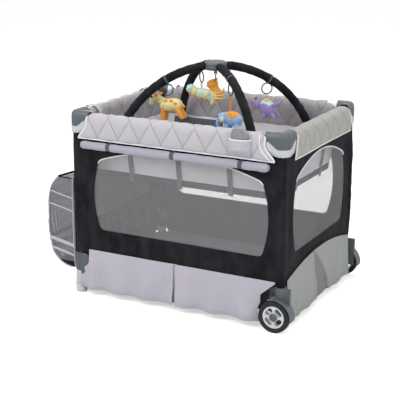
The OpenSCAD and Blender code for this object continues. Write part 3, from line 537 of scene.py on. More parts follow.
def rubber(name, tint):
    """Hard rubber with scuffs."""
    made = Finish(name, tint, 0.7, Specular_IOR_Level=0.35)
    made.shade(made.noise(70, 5), 0.35, 0.75, 0.8, 2.2)
    made.gloss(made.noise(50, 4), 0.55, 0.85)
    made.bump(made.noise(500, 3), 0.0003, 0.35)
    return made


def plush(name, tint):
    """Short plush with a soft nap."""
    made = Finish(name, tint, 0.95, Sheen_Weight=0.35, Specular_IOR_Level=0.1)
    made.shade(made.noise(140, 4), 0.3, 0.7, 0.8, 1.12)
    made.bump(made.noise(700, 2), 0.0009, 0.6)
    made.bump(made.noise(90, 3), 0.001, 0.3)
    return made


def piped(name, tint):
    """Twisted cord under a thin cover."""
    made = Finish(name, tint, 0.7, Specular_IOR_Level=0.3)
    made.shade(made.noise(60, 3), 0.3, 0.7, 0.92, 1.05)
    made.bump(made.thread((0.6, 0.6, 0.6), 0.003), 0.0003, 0.4)
    return made


def creased(name, tint):
    """Black cloth with painted light and shade along its creases, over the creases' relief."""
    made = woven(name, tint, dark=0.8, light=1.2, roughness=0.7, sheen=0.0)
    made.shader.inputs["Specular IOR Level"].default_value = 0.12
    crease_relief_and_shade = made.noise(13, 4, (1.6, 1.6, 0.7))
    # Painted light and shade: along the creases the colour runs from half to two and a half times the tint
    made.shade(made.math("ADD", made.math("MULTIPLY", made.tone, 0.25),
                         made.math("MULTIPLY", crease_relief_and_shade, 0.75)), 0.36, 0.66, 0.5, 2.5)
    made.bump(crease_relief_and_shade, 0.012, 0.5)
    return made


# Makers of the finishes that aren't plain woven cloth
MAKERS = {
    "net": net, "wall_cloth": creased, "steel": metal, "tyre": rubber, "piping": piped,
    "bag_net": lambda name, tint: net(name, tint, pitch=0.0014, cover=1.1),
    "unit_plastic": lambda name, tint: moulded(name, tint, roughness=0.2),
    "foot_plastic": lambda name, tint: two_tone(name, tint, colours().dark_plastic, level=0.1),
    "strap": lambda name, tint: woven(name, tint, pitch=0.0022, relief=0.0006),
    **dict.fromkeys(("dark_plastic", "pale_plastic", "white_plastic"), moulded),
    **dict.fromkeys(("yellow", "orange", "mint", "blue", "purple"), plush),
    **dict.fromkeys(("quilt_cloth", "end_quilt", "inner_quilt"), quilted),
}
FINISHES = {}


def finish(name):
    """The finish of a name, made on first use."""
    if name not in FINISHES:
        FINISHES[name] = MAKERS.get(name, woven)(name, getattr(colours(), name)).material
    return FINISHES[name]


def window_line(half, shift=0.0, drop=0.0):
    """Closed outline of a window as places along and heights."""
    s = sizes()
    low, top = s.window_low - drop, s.window_low + s.window_side
    line = [(half + 4 * s.window_bulge * t * (1 - t), mix(low, top, t)) for t in (i / 24 for i in range(24))]
    line += [(half * u, top + s.window_arch * (1 - u * u)) for u in (1 - i / 24 for i in range(49))]
    line += [(-half - 4 * s.window_bulge * t * (1 - t), mix(low, top, t))
             for t in (1 - i / 24 for i in range(1, 25))]
    line += [(half * u, low) for u in (-1 + i / 20 for i in range(1, 40))]
    line = [tuple((line[k - 1][c] + 2 * line[k][c] + line[(k + 1) % len(line)][c]) / 4 for c in (0, 1))
            for k in range(len(line))]
    return [(x + shift, z) for x, z in line]


def edge_hit(middle, through, outline):
    """Where the line from the middle through a point leaves an outline."""
    dx, dz = through[0] - middle[0], through[1] - middle[1]
    best = None
    for k, a in enumerate(outline):
        b = outline[(k + 1) % len(outline)]
        ex, ez = b[0] - a[0], b[1] - a[1]
        across = dx * ez - dz * ex
        if abs(across) < 1e-12:
            continue
        t = ((a[0] - middle[0]) * ez - (a[1] - middle[1]) * ex) / across
        u = ((a[0] - middle[0]) * dz - (a[1] - middle[1]) * dx) / across
        if t > 0.99 and -1e-9 <= u <= 1 + 1e-9 and (best is None or t < best):
            best = t
    return middle[0] + dx * best, middle[1] + dz * best


WALL_BODIES = {"front": "post_front_left", "left": "post_front_left",
               "right": "post_front_right", "back": "post_back_left"}
# Post that each wall would gather towards as the frame folds, and how much of its length would stay; no piece
# is made to gather
WALL_FOLD = {"front": ((1, 0, 0), (-POST_X, -POST_Y, 0.4), 0.219),
             "back": ((1, 0, 0), (-POST_X, POST_Y, 0.4), 0.219),
             "left": ((0, 1, 0), (-POST_X, -POST_Y, 0.4), 0.252),
             "right": ((0, 1, 0), (POST_X, -POST_Y, 0.4), 0.252)}


def gathers(obj, side, share=1.0):
    """Gives a piece of a side its own mesh; it is not made to gather as the frame folds, and share is not
    used.
    """
    axis, anchor, keep = WALL_FOLD[side]
    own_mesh(obj)
    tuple(axis)
    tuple(anchor)


class YARD_OT_walls(bpy.types.Operator):
    """Black cloth walls with arched mesh windows and white piping"""

    bl_idname = "yard.walls"
    bl_label = "Walls"

    rows = 22
    # The cloth is cut back below the step, for a wheel bracket or for a foot
    step, wheel_notch, foot_notch = 0.181, 0.0418, 0.0148
    # Heights of the cloth at the posts and beside the caps, and of the ends of the sleeves
    post_top, cap_low, sleeve_ends = 0.706, 0.708, (0.1815, 0.7065)
    # How far in from the posts the cloth ends, beside the caps and at the rail, and where it lies flat
    edge_in, cap_in, rail_in, calm_above = 0.006, 0.03, 0.09, 0.63
    # Slack of a sleeve, and of the back right one, which hangs looser
    sag, loose_sag = 0.004, 0.013
    # How far a window lies off the middle of its wall, and how much lower it starts
    shifts, drops = {"front": 0.018}, {"back": 0.021}

    def execute(self, context):
        for seed, side in enumerate(SIDES):
            self.wall(side, seed)
        for corner, (sx, sy) in CORNERS.items():
            self.sleeve(corner, sx, sy)
        return {"FINISHED"}

    def wall(self, side, seed):
        s = sizes()
        long_side = side in LONG_SIDES
        post = POST_X if long_side else POST_Y
        half = s.window_half_long if long_side else s.window_half_end
        reach = post - self.edge_in

        def end_line(way):
            """Edge of the cloth at one end, with a notch for the foot or for the wheel bracket."""
            at_wheel = side == "right" or WHEEL_END.get(side) == way
            notch = post - (self.wheel_notch if at_wheel else self.foot_notch)
            return [(way * x, z) for x, z in (
                (notch, WALL_LOW), (notch, self.step), (reach, self.step), (reach, self.post_top),
                (post - self.cap_in, self.cap_low), (post - self.rail_in, WALL_TOP))]

        outline = end_line(1) + end_line(-1)[::-1]
        shift = self.shifts.get(side, 0.0)
        window = window_line(half, shift, self.drops.get(side, 0.0))
        middle = (shift, s.window_low + s.window_side / 2)
        outer = [edge_hit(middle, p, outline) for p in window]
        count = len(window)
        put = on_side(side)
        skin = WALL_OUT - 0.0008

        def cloth(i, j):
            k = round(i * count) % count
            x, z = mix(window[k][0], outer[k][0], j), mix(window[k][1], outer[k][1], j)
            loose = math.sin(math.pi * min(j * 1.15, 1)) ** 0.7 if j > 0 else 0
            fold = (crumple(x * 9, z * 4, seed + 0.5) * 0.0035
                    + crumple(x * 22 + z * 16, z * 13 - x * 9, seed + 7.5) * 0.0016) * loose
            hem = 0.0008 if j < 0.12 else 0
            calm = 0 if z > self.calm_above else 1
            return put(x, z, skin + hem + fold * calm)

        def mesh(i, j):
            k = round(i * count) % count
            x, z = mix(middle[0], window[k][0], j), mix(middle[1], window[k][1], j)
            x, z = middle[0] + (x - middle[0]) * 1.012, middle[1] + (z - middle[1]) * 1.02
            slack = crumple(x * 5, z * 5, seed + 4.5) * 0.003 * (1 - j ** 3)
            return put(x, z, skin - 0.0022 + min(slack, 0.001))

        wall = Shape()
        wall.grid(count, self.rows, cloth, 0, ring=True)
        wall.grid(count, 12, mesh, 1, ring=True)
        arch = [p for p in window if p[1] >= s.window_low + s.window_side - 0.02]
        wall.tube([put(x, z, skin + 0.001) for x, z in arch], s.piping_radius * 0.9, 8, 2)
        made = wall.piece(f"wall_{side}_cloth", ["wall_cloth", "net", "piping"], WALL_BODIES[side])
        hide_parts(f"wall_{side}")
        [f"corner_post_{c}" for c in self.posts(side)]
        gathers(made, side)

    def posts(self, side):
        return [c for c in CORNERS if side in c.split("_")]

    def sleeve(self, corner, sx, sy):
        low, high = self.sleeve_ends
        sag = self.loose_sag if corner == "back_right" else self.sag
        seed = 3 * sx + sy

        def place(i, j):
            turn, z = math.atan2(-sy, -sx) + math.tau * 1.03 * i, mix(low, high, j)
            outward = max(math.cos(turn) * sx + math.sin(turn) * sy, 0) / math.sqrt(2)
            loose = math.sin(math.pi * j) ** 0.8
            r = POST_R + 0.0026 + outward * sag * loose * (0.7 + 0.5 * crumple(0, j * 3, seed))
            r += 0.0016 * loose * crumple(math.cos(turn) * 1.2 + seed, j * 16 + math.sin(turn), seed)
            r += 0.0008 * ease(i * 8 - 7)
            return Vector((sx * POST_X + math.cos(turn) * r, sy * POST_Y + math.sin(turn) * r, z))

        sleeve = Shape()
        sleeve.grid(33, 72, place, 0)
        made = sleeve.piece(f"post_sleeve_{corner}", ["wall_cloth"], f"post_{corner}")


class YARD_OT_skirts(bpy.types.Operator):
    """Grey skirts that hang below the walls"""

    bl_idname = "yard.skirts"
    bl_label = "Skirts"

    # End of a long skirt beside the wheel, and the height from which it widens to the post
    wheel_edge, wheel_clear, widening = 0.392, 0.142, 0.055
    # How far a long skirt steps in above its foot, and the height at which it starts to
    foot_step, foot_clear = 0.042, 0.095
    # Depth of the folds of a long skirt and of an end skirt, how far a skirt stands off, and its thickness
    long_fold, end_fold, flare, cloth = 0.0105, 0.0045, 0.008, 0.0014
    # Share of a wall's gathering at which a long skirt would clear the wheel of the folded frame; the skirts
    # are not made to gather
    gathered = 0.6

    def execute(self, context):
        for seed, side in enumerate(SIDES):
            self.skirt(side, seed + 10)
        return {"FINISHED"}

    def skirt(self, side, seed):
        s = sizes()
        long_side = side in LONG_SIDES
        put = on_side(side)
        half = (POST_X if long_side else POST_Y) - 0.016
        rise, deep = (0, self.long_fold) if long_side else (s.skirt_arch, self.end_fold)
        wheel_end = WHEEL_END.get(side)
        axle_x, axle_z = node_middle("wheel_tyre_front_right", 0), node_middle("wheel_tyre_front_right", 2)
        guard = axle_z + 0.0125

        def limit(z, end):
            if end == wheel_end:
                rise = min(abs(z - axle_z) / guard, 1.0)
                hug = axle_x - guard * math.sqrt(1 - rise * rise)
                widen = (z - self.wheel_clear) / self.widening
                above = mix(self.wheel_edge, half, min(widen, 1)) if widen > 0 else 0
                return max(min(hug, self.wheel_edge), above)
            if not long_side:
                return half
            return mix(half + 0.006, half - self.foot_step, ease((z - self.foot_clear) / self.widening))

        def flat(i, j):
            top = s.skirt_top + rise * (1 - (2 * i - 1) ** 2)
            z = mix(s.skirt_low, top, j)
            return (2 * i - 1) * limit(z, -1 if i < 0.5 else 1), z, 1 - j ** 1.5

        def pleat(x, free):
            """How far inside the open pleat of an end skirt a place is."""
            return mix(0.004, 0.0635, free) - abs(x - mix(-0.06, 0.04, free))

        def place(i, j, slit=0):
            x, z, free = flat(i, j)
            drape = math.sin(x * 44 + 2.6 * crumple(x * 2.5, z * 2, seed)) * deep
            fold = (drape + 0.0042 * crumple(x * 9 + z * 6, z * 7, seed)) * free
            out = WALL_OUT + 0.0056 + self.flare * free + fold
            if long_side:
                near = math.exp(-(x / 0.035) ** 2)
                x += slit * (0.0006 + 0.0052 * free) * near
                out -= 0.0035 * math.exp(-(x / 0.011) ** 2)
            else:
                out -= (0.0035 + 0.0075 * free) * ease(0.5 + pleat(x, free) / 0.007)
            return put(x, z, max(out, WALL_OUT + 0.0016))

        # The inside of the open pleat of an end skirt takes the pleat cloth, partly painted shade of the
        # recess
        def tone(i, j):
            return 0 if long_side or pleat(*flat(i, j)[::2]) < 0 else 1

        skirt = Shape()
        halves = ((0.0, 0.5, -1), (0.5, 1.0, 1)) if long_side else ((0.0, 1.0, 0),)
        for start, end, slit in halves:
            def panel(i, j):
                return place(mix(start, end, i), j, slit)

            skirt.grid(96 if long_side else 150, 26, panel, tone)
            hem = [panel(i / 90, 0.075) + step_of(put, out=0.0007) for i in range(91)]
            skirt.tube(hem, 0.0006, 5, 0)
        if long_side:
            # Backing behind the slit, in the pleat cloth that is partly painted shade of the recess
            low, top = s.skirt_low + 0.006, s.skirt_top - 0.02
            skirt.grid(12, 12, lambda i, j: put(mix(-0.032, 0.032, i), mix(low, top, j),
                                                WALL_OUT + 0.0018 + 0.0012 * (1 - j)), 1)
        # End skirts take their cloth darkened with painted shade
        cloths = ["skirt_cloth" if long_side else "end_skirt", "pleat_cloth"]
        made = skirt.piece(f"skirt_{side}_cloth", cloths, WALL_BODIES[side], thickness=self.cloth)
        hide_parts(f"skirt_{side}")
        gathers(made, side, self.gathered if long_side else 1.0)


class YARD_OT_covers(bpy.types.Operator):
    """Quilted covers over the top rails"""

    bl_idname = "yard.covers"
    bl_label = "Rail covers"

    # Width of a face along a cover, and the place up the cloth from which the quilting is laid out
    cell, quilt_start = 0.0052, 0.095
    # Half lengths at the outer edge and at the rail, and how far in from the posts the inner edge is
    long_halves, end_halves, inner_in = (0.445, 0.4), (0.299, 0.277), 0.034
    # Radius of the corners of the inner edge
    corner_r = 0.02

    def execute(self, context):
        for seed, side in enumerate(SIDES):
            # The right cover takes its warm grey cloth, darkened with painted shade
            self.cover(side, "end_quilt" if side == "right" else "quilt_cloth", seed)
        self.inner_piping()
        return {"FINISHED"}

    def profile(self, rows):
        """Outer edge, over the rail, to the inner edge, as distance out and height."""
        s, top = sizes(), COVER_TOP
        low, inner = top - s.cover_drop, top - s.band_drop
        return smooth_curve([
            (0.0275, low, 0), (0.0300, low + 0.03, 0), (0.0300, top - 0.036, 0), (0.0270, top - 0.016, 0),
            (0.0190, top - 0.0045, 0), (0.0060, top, 0), (-0.0080, top, 0), (-0.0210, top - 0.0040, 0),
            (-0.0300, top - 0.015, 0), (-0.0325, top - 0.036, 0), (-0.0335, top - 0.08, 0),
            (-0.0330, inner, 0)], rows)

    def halves(self, side):
        """Half length at the outer edge, at the rail, and at the inner edge."""
        if side in LONG_SIDES:
            return *self.long_halves, POST_X - self.inner_in
        return *self.end_halves, POST_Y - self.inner_in

    def half_at(self, side, j):
        outer, rail, inner = self.halves(side)
        if j > 0.5:
            return mix(rail, inner, ease((j - 0.62) / 0.3))
        dip = 0.022 * math.sin(math.pi * min(j / 0.3, 1)) ** 2 if outer > 0.4 else 0
        return mix(outer, rail, ease(j / 0.36)) - dip

    def puff(self, x, length, seed):
        s = sizes()
        bent = x + s.quilt_wave * math.sin(math.tau * length / s.quilt_height)
        one, two = bent / s.quilt_width, length / s.quilt_height
        swell = abs(math.sin(math.pi * (one + two)) * math.sin(math.pi * (one - two))) ** 0.5
        return s.quilt_puff * swell * (1 + 0.15 * crumple(x * 20, length * 20, seed))

    def cover(self, side, cloth, seed):
        rows, put = 58, on_side(side)
        line = self.profile(rows)
        lengths = [0.0]
        for a, b in zip(line, line[1:]):
            lengths.append(lengths[-1] + (b - a).length)
        columns = round(2 * self.halves(side)[0] / self.cell)
        unit_x = node_middle("sound_unit", 0)

        def flat(i, j):
            return (2 * i - 1) * self.half_at(side, j), lengths[round(j * rows)] - self.quilt_start

        def place(i, j):
            k = round(j * rows)
            half = self.half_at(side, j)
            x = (2 * i - 1) * half
            ahead, behind = line[min(k + 1, rows)], line[max(k - 1, 0)]
            along = (ahead - behind).normalized()
            edge = min(1, (half - abs(x)) / 0.012, lengths[k] / 0.01, (lengths[-1] - lengths[k]) / 0.01)
            out = self.puff(*flat(i, j), seed) * max(edge, 0)
            if side == "front":
                out *= mix(0.3, 1.0, ease((abs(x - unit_x) - 0.04) / 0.03))
            sag = 0.002 * crumple(x * 3, seed, 2.5) * (1 - min(j * 3, 1))
            return put(x, line[k].y - along.x * out + sag, line[k].x + along.y * out)

        cover = Shape()
        # The inner side of a cover takes the quilted cloth darkened with painted shade
        cover.grid(columns, rows, place, lambda i, j: 1 if j > 0.55 else 0, flat=flat)
        made = cover.piece(f"rail_cover_{side}", [cloth, "inner_quilt"], "bassinet", thickness=0.0035)
        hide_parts("right_cover" if side == "right" else "quilted_cover")

        upper = round(rows * 0.34)
        edge = [place(0, k / rows) for k in range(upper, 0, -1)]
        edge += [place(i / 60, 0) for i in range(61)]
        edge += [place(1, k / rows) for k in range(1, upper + 1)]
        edges = [(edge, 1)]
        if side == "front":
            inset = [place(1 - 0.02 * (1 + k / rows), k / rows) + Vector((0, -0.0015, 0))
                     for k in range(upper + 1)]
            edges.append((inset, 0.8))
        piped_edge(f"rail_piping_{side}", *edges)

    def inner_piping(self):
        """White piping along the lower edge of the inner band, all round the bassinet."""
        z, r = COVER_TOP - sizes().band_drop, self.corner_r
        x, y = POST_X - self.inner_in, POST_Y - self.inner_in
        path = []
        for cx, cy, start in ((1, 1, 0), (-1, 1, 90), (-1, -1, 180), (1, -1, 270)):
            for k in range(9):
                turn = math.radians(start + k * 11.25)
                path.append((cx * (x - r) + r * math.cos(turn), cy * (y - r) + r * math.sin(turn), z))
        dense = []
        for a, b in zip(path, path[1:] + path[:1]):
            a, b = Vector(a), Vector(b)
            steps = max(1, round((b - a).length / 0.03))
            dense += [a.lerp(b, k / steps) for k in range(steps)]
        piped_edge("bassinet_piping", (dense, 1), closed=True)


def rounded_box_ring(share, half_x, half_y, radius):
    """A place on a rounded rectangle, from its share of the way round."""
    straight_x, straight_y, arc = 2 * (half_x - radius), 2 * (half_y - radius), math.pi / 2 * radius
    way = share * (2 * straight_x + 2 * straight_y + 4 * arc)
    parts = [(straight_y, "y", 1), (arc, "a", 0), (straight_x, "x", 1), (arc, "a", 1),
             (straight_y, "y", -1), (arc, "a", 2), (straight_x, "x", -1), (arc, "a", 3)]
    for length, kind, number in parts:
        if way <= length or (kind, number) == ("a", 3):
            break
        way -= length
    if kind == "y":
        return number * half_x, number * (way - straight_y / 2)
    if kind == "x":
        return -number * (way - straight_x / 2), number * half_y
    turn = number * math.pi / 2 + way / radius
    cx, cy = ((1, 1), (-1, 1), (-1, -1), (1, -1))[number]
    return (cx * (half_x - radius) + radius * math.cos(turn),
            cy * (half_y - radius) + radius * math.sin(turn))


class YARD_OT_bassinet(bpy.types.Operator):
    """Hanging cloth bassinet with straps, and its folding mattress"""

    bl_idname = "yard.bassinet"
    bl_label = "Bassinet"

    # How far the tub hangs inside the posts at its top, and how much further at its floor
    inset, lean = 0.0345, 0.024
    # Height of the tub's sides, and what they add to the length and the width of the flat cloth
    side_height, overlap = 0.167, 0.33
    # Width of a strap, and height of the mattress's edge above its underside
    strap_width, seam_height = 0.022, 0.012
    strap_places = {"front": (-0.234, -0.008, 0.223), "back": (-0.223, 0.008, 0.234),
                    "right": (-0.1, 0.159), "left": (-0.13, 0.13)}

    def execute(self, context):
        self.tub()
        self.straps()
        self.mattress()
        return {"FINISHED"}

    def wall_point(self, share, j):
        low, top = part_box("bassinet_tub")[0][2], COVER_TOP - sizes().band_drop + 0.004
        inset = mix(self.inset, self.inset + self.lean, 1 - j)
        x, y = rounded_box_ring(share, POST_X - inset, POST_Y - inset, 0.022)
        return Vector((x, y, mix(low + 0.009, top, j)))

    def tub(self):
        def wall(i, j):
            p = self.wall_point(i, j)
            loose = math.sin(math.pi * j) ** 0.6 if 0 < j < 1 else 0
            depth = 0.0045 * loose * crumple((p.x + p.y) * 15, p.z * 22 + p.x * 3, 21.5, 4)
            away = Vector((p.x, p.y, 0)).normalized()
            return p + away * depth

        def floor(i, j):
            edge = self.wall_point(i, 0)
            sag = 0.004 * (1 - j ** 2)
            return Vector((edge.x * j, edge.y * j, edge.z - min(sag, 0.0015)))

        tub = Shape()
        tub.grid(300, 22, wall, lambda i, j: 1 if j < 0.19 else 0, ring=True)
        tub.grid(300, 10, floor, 1, ring=True)
        made = tub.piece("bassinet_cloth", ["tub_cloth", "wall_cloth"], "bassinet",
                         thickness=0.002, offset=0)
        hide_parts("bassinet_tub")

    def straps(self):
        low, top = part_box("bassinet_tub")[0][2], COVER_TOP - sizes().band_drop

        def leaning(j):
            return mix(-self.inset - self.lean, -self.inset, j)

        straps = Shape()
        for side, places in self.strap_places.items():
            put = on_side(side)
            for s in places:
                path = [put(s, mix(low, top, k / 8), leaning(k / 8) + 0.0068) for k in range(9)]
                straps.ribbon(path, step_of(put, along=1), self.strap_width)
        put = on_side("back")
        straps.grid(40, 12, lambda i, j: put(
            mix(0.12, 0.37, i), mix(low + 0.03, top - 0.004, j),
            leaning(mix(0.18, 0.97, j)) - 0.0062 - 0.001 * crumple(i * 9, j * 4, 17.5)))
        made = straps.piece("bassinet_straps", ["strap"], "bassinet", thickness=0.0014)

    def mattress(self):
        (x0, y0, z0), (x1, y1, z1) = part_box("mattress_pad")
        panels = sizes().mattress_panels

        def crown(i, j):
            f = (i * panels) % 1.0
            along = (1 - abs(2 * f - 1) ** 5) if 0 < i < 1 else 0
            across = 1 - abs(2 * j - 1) ** 12
            tuft = abs(math.sin(math.pi * i * panels * 3) * math.sin(math.pi * j * 8)) ** 0.5
            return along * across * (0.82 + 0.18 * tuft)

        def top(i, j):
            return Vector((mix(x0, x1, i), mix(y0, y1, j), mix(z0 + self.seam_height, z1, crown(i, j))))

        def bottom(i, j):
            return Vector((mix(x0, x1, i), mix(y0, y1, 1 - j),
                           mix(z0 + self.seam_height, z0, crown(i, 1 - j) ** 0.5)))

        pad = Shape()
        pad.grid(160, 112, top, 0)
        pad.grid(160, 112, bottom, 0)
        made = pad.piece("mattress_panels", ["pale_cloth"], "bassinet")
        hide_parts("mattress_pad")


class YARD_OT_floor_cloth(bpy.types.Operator):
    """Floor cloth of the yard, in four quarters that fold up with the base legs"""

    bl_idname = "yard.floor_cloth"
    bl_label = "Floor cloth"

    # Radius of the cut-out round a post, how far a leg's pin lies in from it, and what stays when folded
    cut_out, pin_in, folded = 0.046, 0.052, 0.12

    def execute(self, context):
        (x0, y0, z0), (x1, y1, z1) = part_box("floor_cloth")
        for corner, (sx, sy) in CORNERS.items():
            def place(i, j):
                x, y = sx * mix(0.0, x1 - 0.001, i), sy * mix(0.0, y1 - 0.001, j)
                away = Vector((min(sx * x - POST_X, 0), min(sy * y - POST_Y, 0)))
                if Vector((sx * x - POST_X, sy * y - POST_Y)).length < self.cut_out:
                    away = away.normalized() if away.length > 1e-6 else Vector((-1, -1)).normalized()
                    x, y = sx * (POST_X + away.x * self.cut_out), sy * (POST_Y + away.y * self.cut_out)
                rise = 0.0012 * crumple(x * 8, y * 8, 31.5)
                return Vector((x, y, z0 + 0.0012 + max(rise, -0.0004)))

            cloth = Shape()
            cloth.grid(48, 40, place, 0)
            made = cloth.piece(f"floor_cloth_{corner}", ["floor_cloth"], f"base_leg_{corner}")
            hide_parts("floor_cloth")
            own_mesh(made)
        return {"FINISHED"}


class YARD_OT_caps(bpy.types.Operator):
    """Two-tone corner caps with a swept lower edge"""

    bl_idname = "yard.caps"
    bl_label = "Corner caps"

    # Lengths of a cap's arms along the front, the back and the ends, and its bend and half width
    front_arm, back_arm, end_arm, bend, half_width = 0.07, 0.094, 0.068, 0.008, 0.0213
    # How far the lower edge and the seam lie below the top, at the post and at the end of an arm
    edge_drops, seam_drops = (0.0905, 0.078), (0.063, 0.034)
    # Thickness of a cap's shell
    shell = 0.0024

    def execute(self, context):
        for corner, (sx, sy) in CORNERS.items():
            self.cap(corner, sx, sy)
        return {"FINISHED"}

    def cap(self, corner, sx, sy):
        arm_x, arm_y = self.front_arm if sy < 0 else self.back_arm, self.end_arm
        bend, out, top = self.bend, self.half_width, CAP_TOP
        arc = math.pi / 2 * bend
        lead_x, lead_y = arm_x - bend, arm_y - bend
        whole = lead_x + arc + lead_y

        def path(i):
            """Place and outward direction from above, and the share of the way along an arm."""
            way = i * whole
            if way < lead_x:
                return Vector((-arm_x + way, 0)), Vector((0, 1)), 1 - way / lead_x
            if way > lead_x + arc:
                share = (way - lead_x - arc) / lead_y
                return Vector((0, -bend - share * lead_y)), Vector((1, 0)), share
            turn = math.pi / 2 - (way - lead_x) / bend
            away = Vector((math.cos(turn), math.sin(turn)))
            return Vector((-bend, -bend)) + away * bend, away, 0.0

        def place(i, j):
            p, away, arm = path(i)
            low = mix(*(top - drop for drop in self.edge_drops), ease(arm))
            seam = mix(*(top - drop for drop in self.seam_drops), ease(arm * 1.15))
            lift = 0.0015 * (1 - arm)
            rows = [(out + 0.0005, low), (out + 0.0015, mix(low, seam, 0.5)), (out + 0.0008, seam),
                    (out + 0.0008, seam + 0.0005), (out + 0.001, mix(seam, top, 0.4)),
                    (out, top - 0.016), (out - 0.003, top - 0.007), (out - 0.009, top - 0.0015),
                    (0.0, top + lift - 0.0008), (-out + 0.011, top - 0.0015), (-out + 0.005, top - 0.007),
                    (-out + 0.002, top - 0.016), (-out + 0.002, top - 0.046)]
            side, z = rows[round(j * (len(rows) - 1))]
            p = p + away * side
            return Vector((sx * (POST_X + p.x), sy * (POST_Y + p.y), z))

        cap = Shape()
        cap.grid(44, 12, place, lambda i, j: 0 if j < 3 / 12 else 2 if j > 8 / 12 and i < 0.27 else 1)
        made = cap.piece(f"cap_shell_{corner}", ["pale_plastic", "dark_plastic", "white_plastic"],
                         f"post_{corner}", thickness=-self.shell * sx * sy, offset=1.0)
        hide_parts(f"corner_cap_{corner}")


class YARD_OT_roll(bpy.types.Operator):
    """Cover rolled up under the front flap, with its straps"""

    bl_idname = "yard.roll"
    bl_label = "Rolled cover"

    # Places of the straps along the roll, and their width
    places, strap_width = (-0.292, 0.007, 0.307), 0.018

    def execute(self, context):
        (x0, y0, z0), (x1, y1, z1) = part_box("cover_roll")
        radius = sizes().roll_radius
        y, z = (y0 + y1) / 2 - 0.0012, (z0 + z1) / 2

        def spot(turn, x, r):
            return Vector((x, y + r * math.cos(turn), z + r * math.sin(turn)))

        def skin(i, j):
            turn, x = math.tau * i, mix(x0 + 0.001, x1 - 0.001, j)
            waist = max(math.exp(-((x - s) / 0.016) ** 2) for s in self.places)
            end = min(j, 1 - j) * (x1 - x0)
            round_off = 0.004 * (1 - ease(end / 0.012))
            lap = 0.0016 * (1 - ((turn / math.tau + 0.3 + 0.02 * math.sin(x * 9)) % 1.0))
            r = radius - 0.0022 * waist - round_off - lap
            r += 0.0018 * crumple(x * 26, math.cos(turn) * 2.5, 5.5) * (1 - waist)
            return spot(turn, x, r)

        roll = Shape()
        roll.grid(36, 210, skin, 0, ring=True)
        for x, way in ((x0, 1), (x1, -1)):
            def face(i, j, x=x, way=way):
                turn = math.tau * i
                r = (radius - 0.0045) * (1 - j) if j < 1 else 0.0
                spiral = 0.0022 * abs(math.sin(math.pi * (r / 0.0034 - i)))
                return spot(turn, x + way * (0.001 + spiral * (j > 0)), r)
            roll.grid(36, 14, face, 0, ring=True)
        # The roll takes its cloth darkened with painted shade from the flap above
        made = roll.piece("rolled_cover", ["roll_cloth"], "bassinet", outward=True)
        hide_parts("cover_roll")

        straps = Shape()
        for s in self.places:
            loop = [spot(math.radians(a), s, radius - 0.0012) for a in range(90, 451, 12)]
            straps.ribbon(loop, (1, 0, 0), self.strap_width)
            behind = -POST_Y - 0.0212
            tab = [spot(math.radians(50), s, radius - 0.0004), (s, behind, z + radius + 0.004),
                   (s, behind, z + radius + 0.03)]
            straps.ribbon(tab, (1, 0, 0), self.strap_width)
        made = straps.piece("roll_strap_loops", ["strap"], "bassinet", thickness=0.0012, offset=1)
        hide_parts("roll_straps")
        return {"FINISHED"}


class YARD_OT_sound_unit(bpy.types.Operator):
    """Round sound unit in a piped pocket on the front flap"""

    bl_idname = "yard.sound_unit"
    bl_label = "Sound unit"

    # Half width of the pocket, the width of its flat cloth, and its edges from those of the flap
    half, flat_width, above, below = 0.0455, 0.11, 0.01, 0.024

    def execute(self, context):
        (x0, y0, z0), (x1, y1, z1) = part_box("sound_unit")
        x, z, r = (x0 + x1) / 2, (z0 + z1) / 2, (x1 - x0) / 2 - 0.0003
        deep = y1 - y0
        profile = [(0, 0), (r * 0.8, 0), (r * 0.95, 0.002), (r, 0.006)]
        profile += [(r * wide, deep * along) for wide, along in (
            (1, 0.45), (0.97, 0.6), (0.9, 0.74), (0.8, 0.84), (0.77, 0.84), (0.76, 0.8), (0.73, 0.8),
            (0.72, 0.88))]
        profile += [(r * 0.72 * k / 12, deep * (0.88 + 0.12 * (1 - (k / 12) ** 2)) - 0.0007 * (k % 2))
                    for k in range(11, -1, -1)]
        unit = Shape()
        unit.lathe(profile, (x, y1, z), (0, -1, 0), 56, 0)
        made = unit.piece("sound_unit_shell", ["unit_plastic"], "bassinet", outward=True)
        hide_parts("sound_unit")

        low, top = COVER_TOP - sizes().cover_drop + self.above, COVER_TOP - self.below

        def pouch(i, j):
            across = 2 * i - 1
            height = mix(low, top, j)
            belly = (1 - abs(across) ** 4) * ease(j * 2.2)
            pleat = 0.0012 * crumple(across * 3, j * 4, 8.5) * belly
            return Vector((x + across * self.half, y1 - 0.0012 - (deep + 0.0015) * belly - pleat, height))

        pocket = Shape()
        pocket.grid(36, 26, pouch, 0)
        made = pocket.piece("unit_pocket", ["pale_cloth"], "bassinet", thickness=0.0016, offset=1)
        piped_edge("pocket_piping", ([pouch(k / 30, 1) for k in range(31)], 0.85))
        return {"FINISHED"}


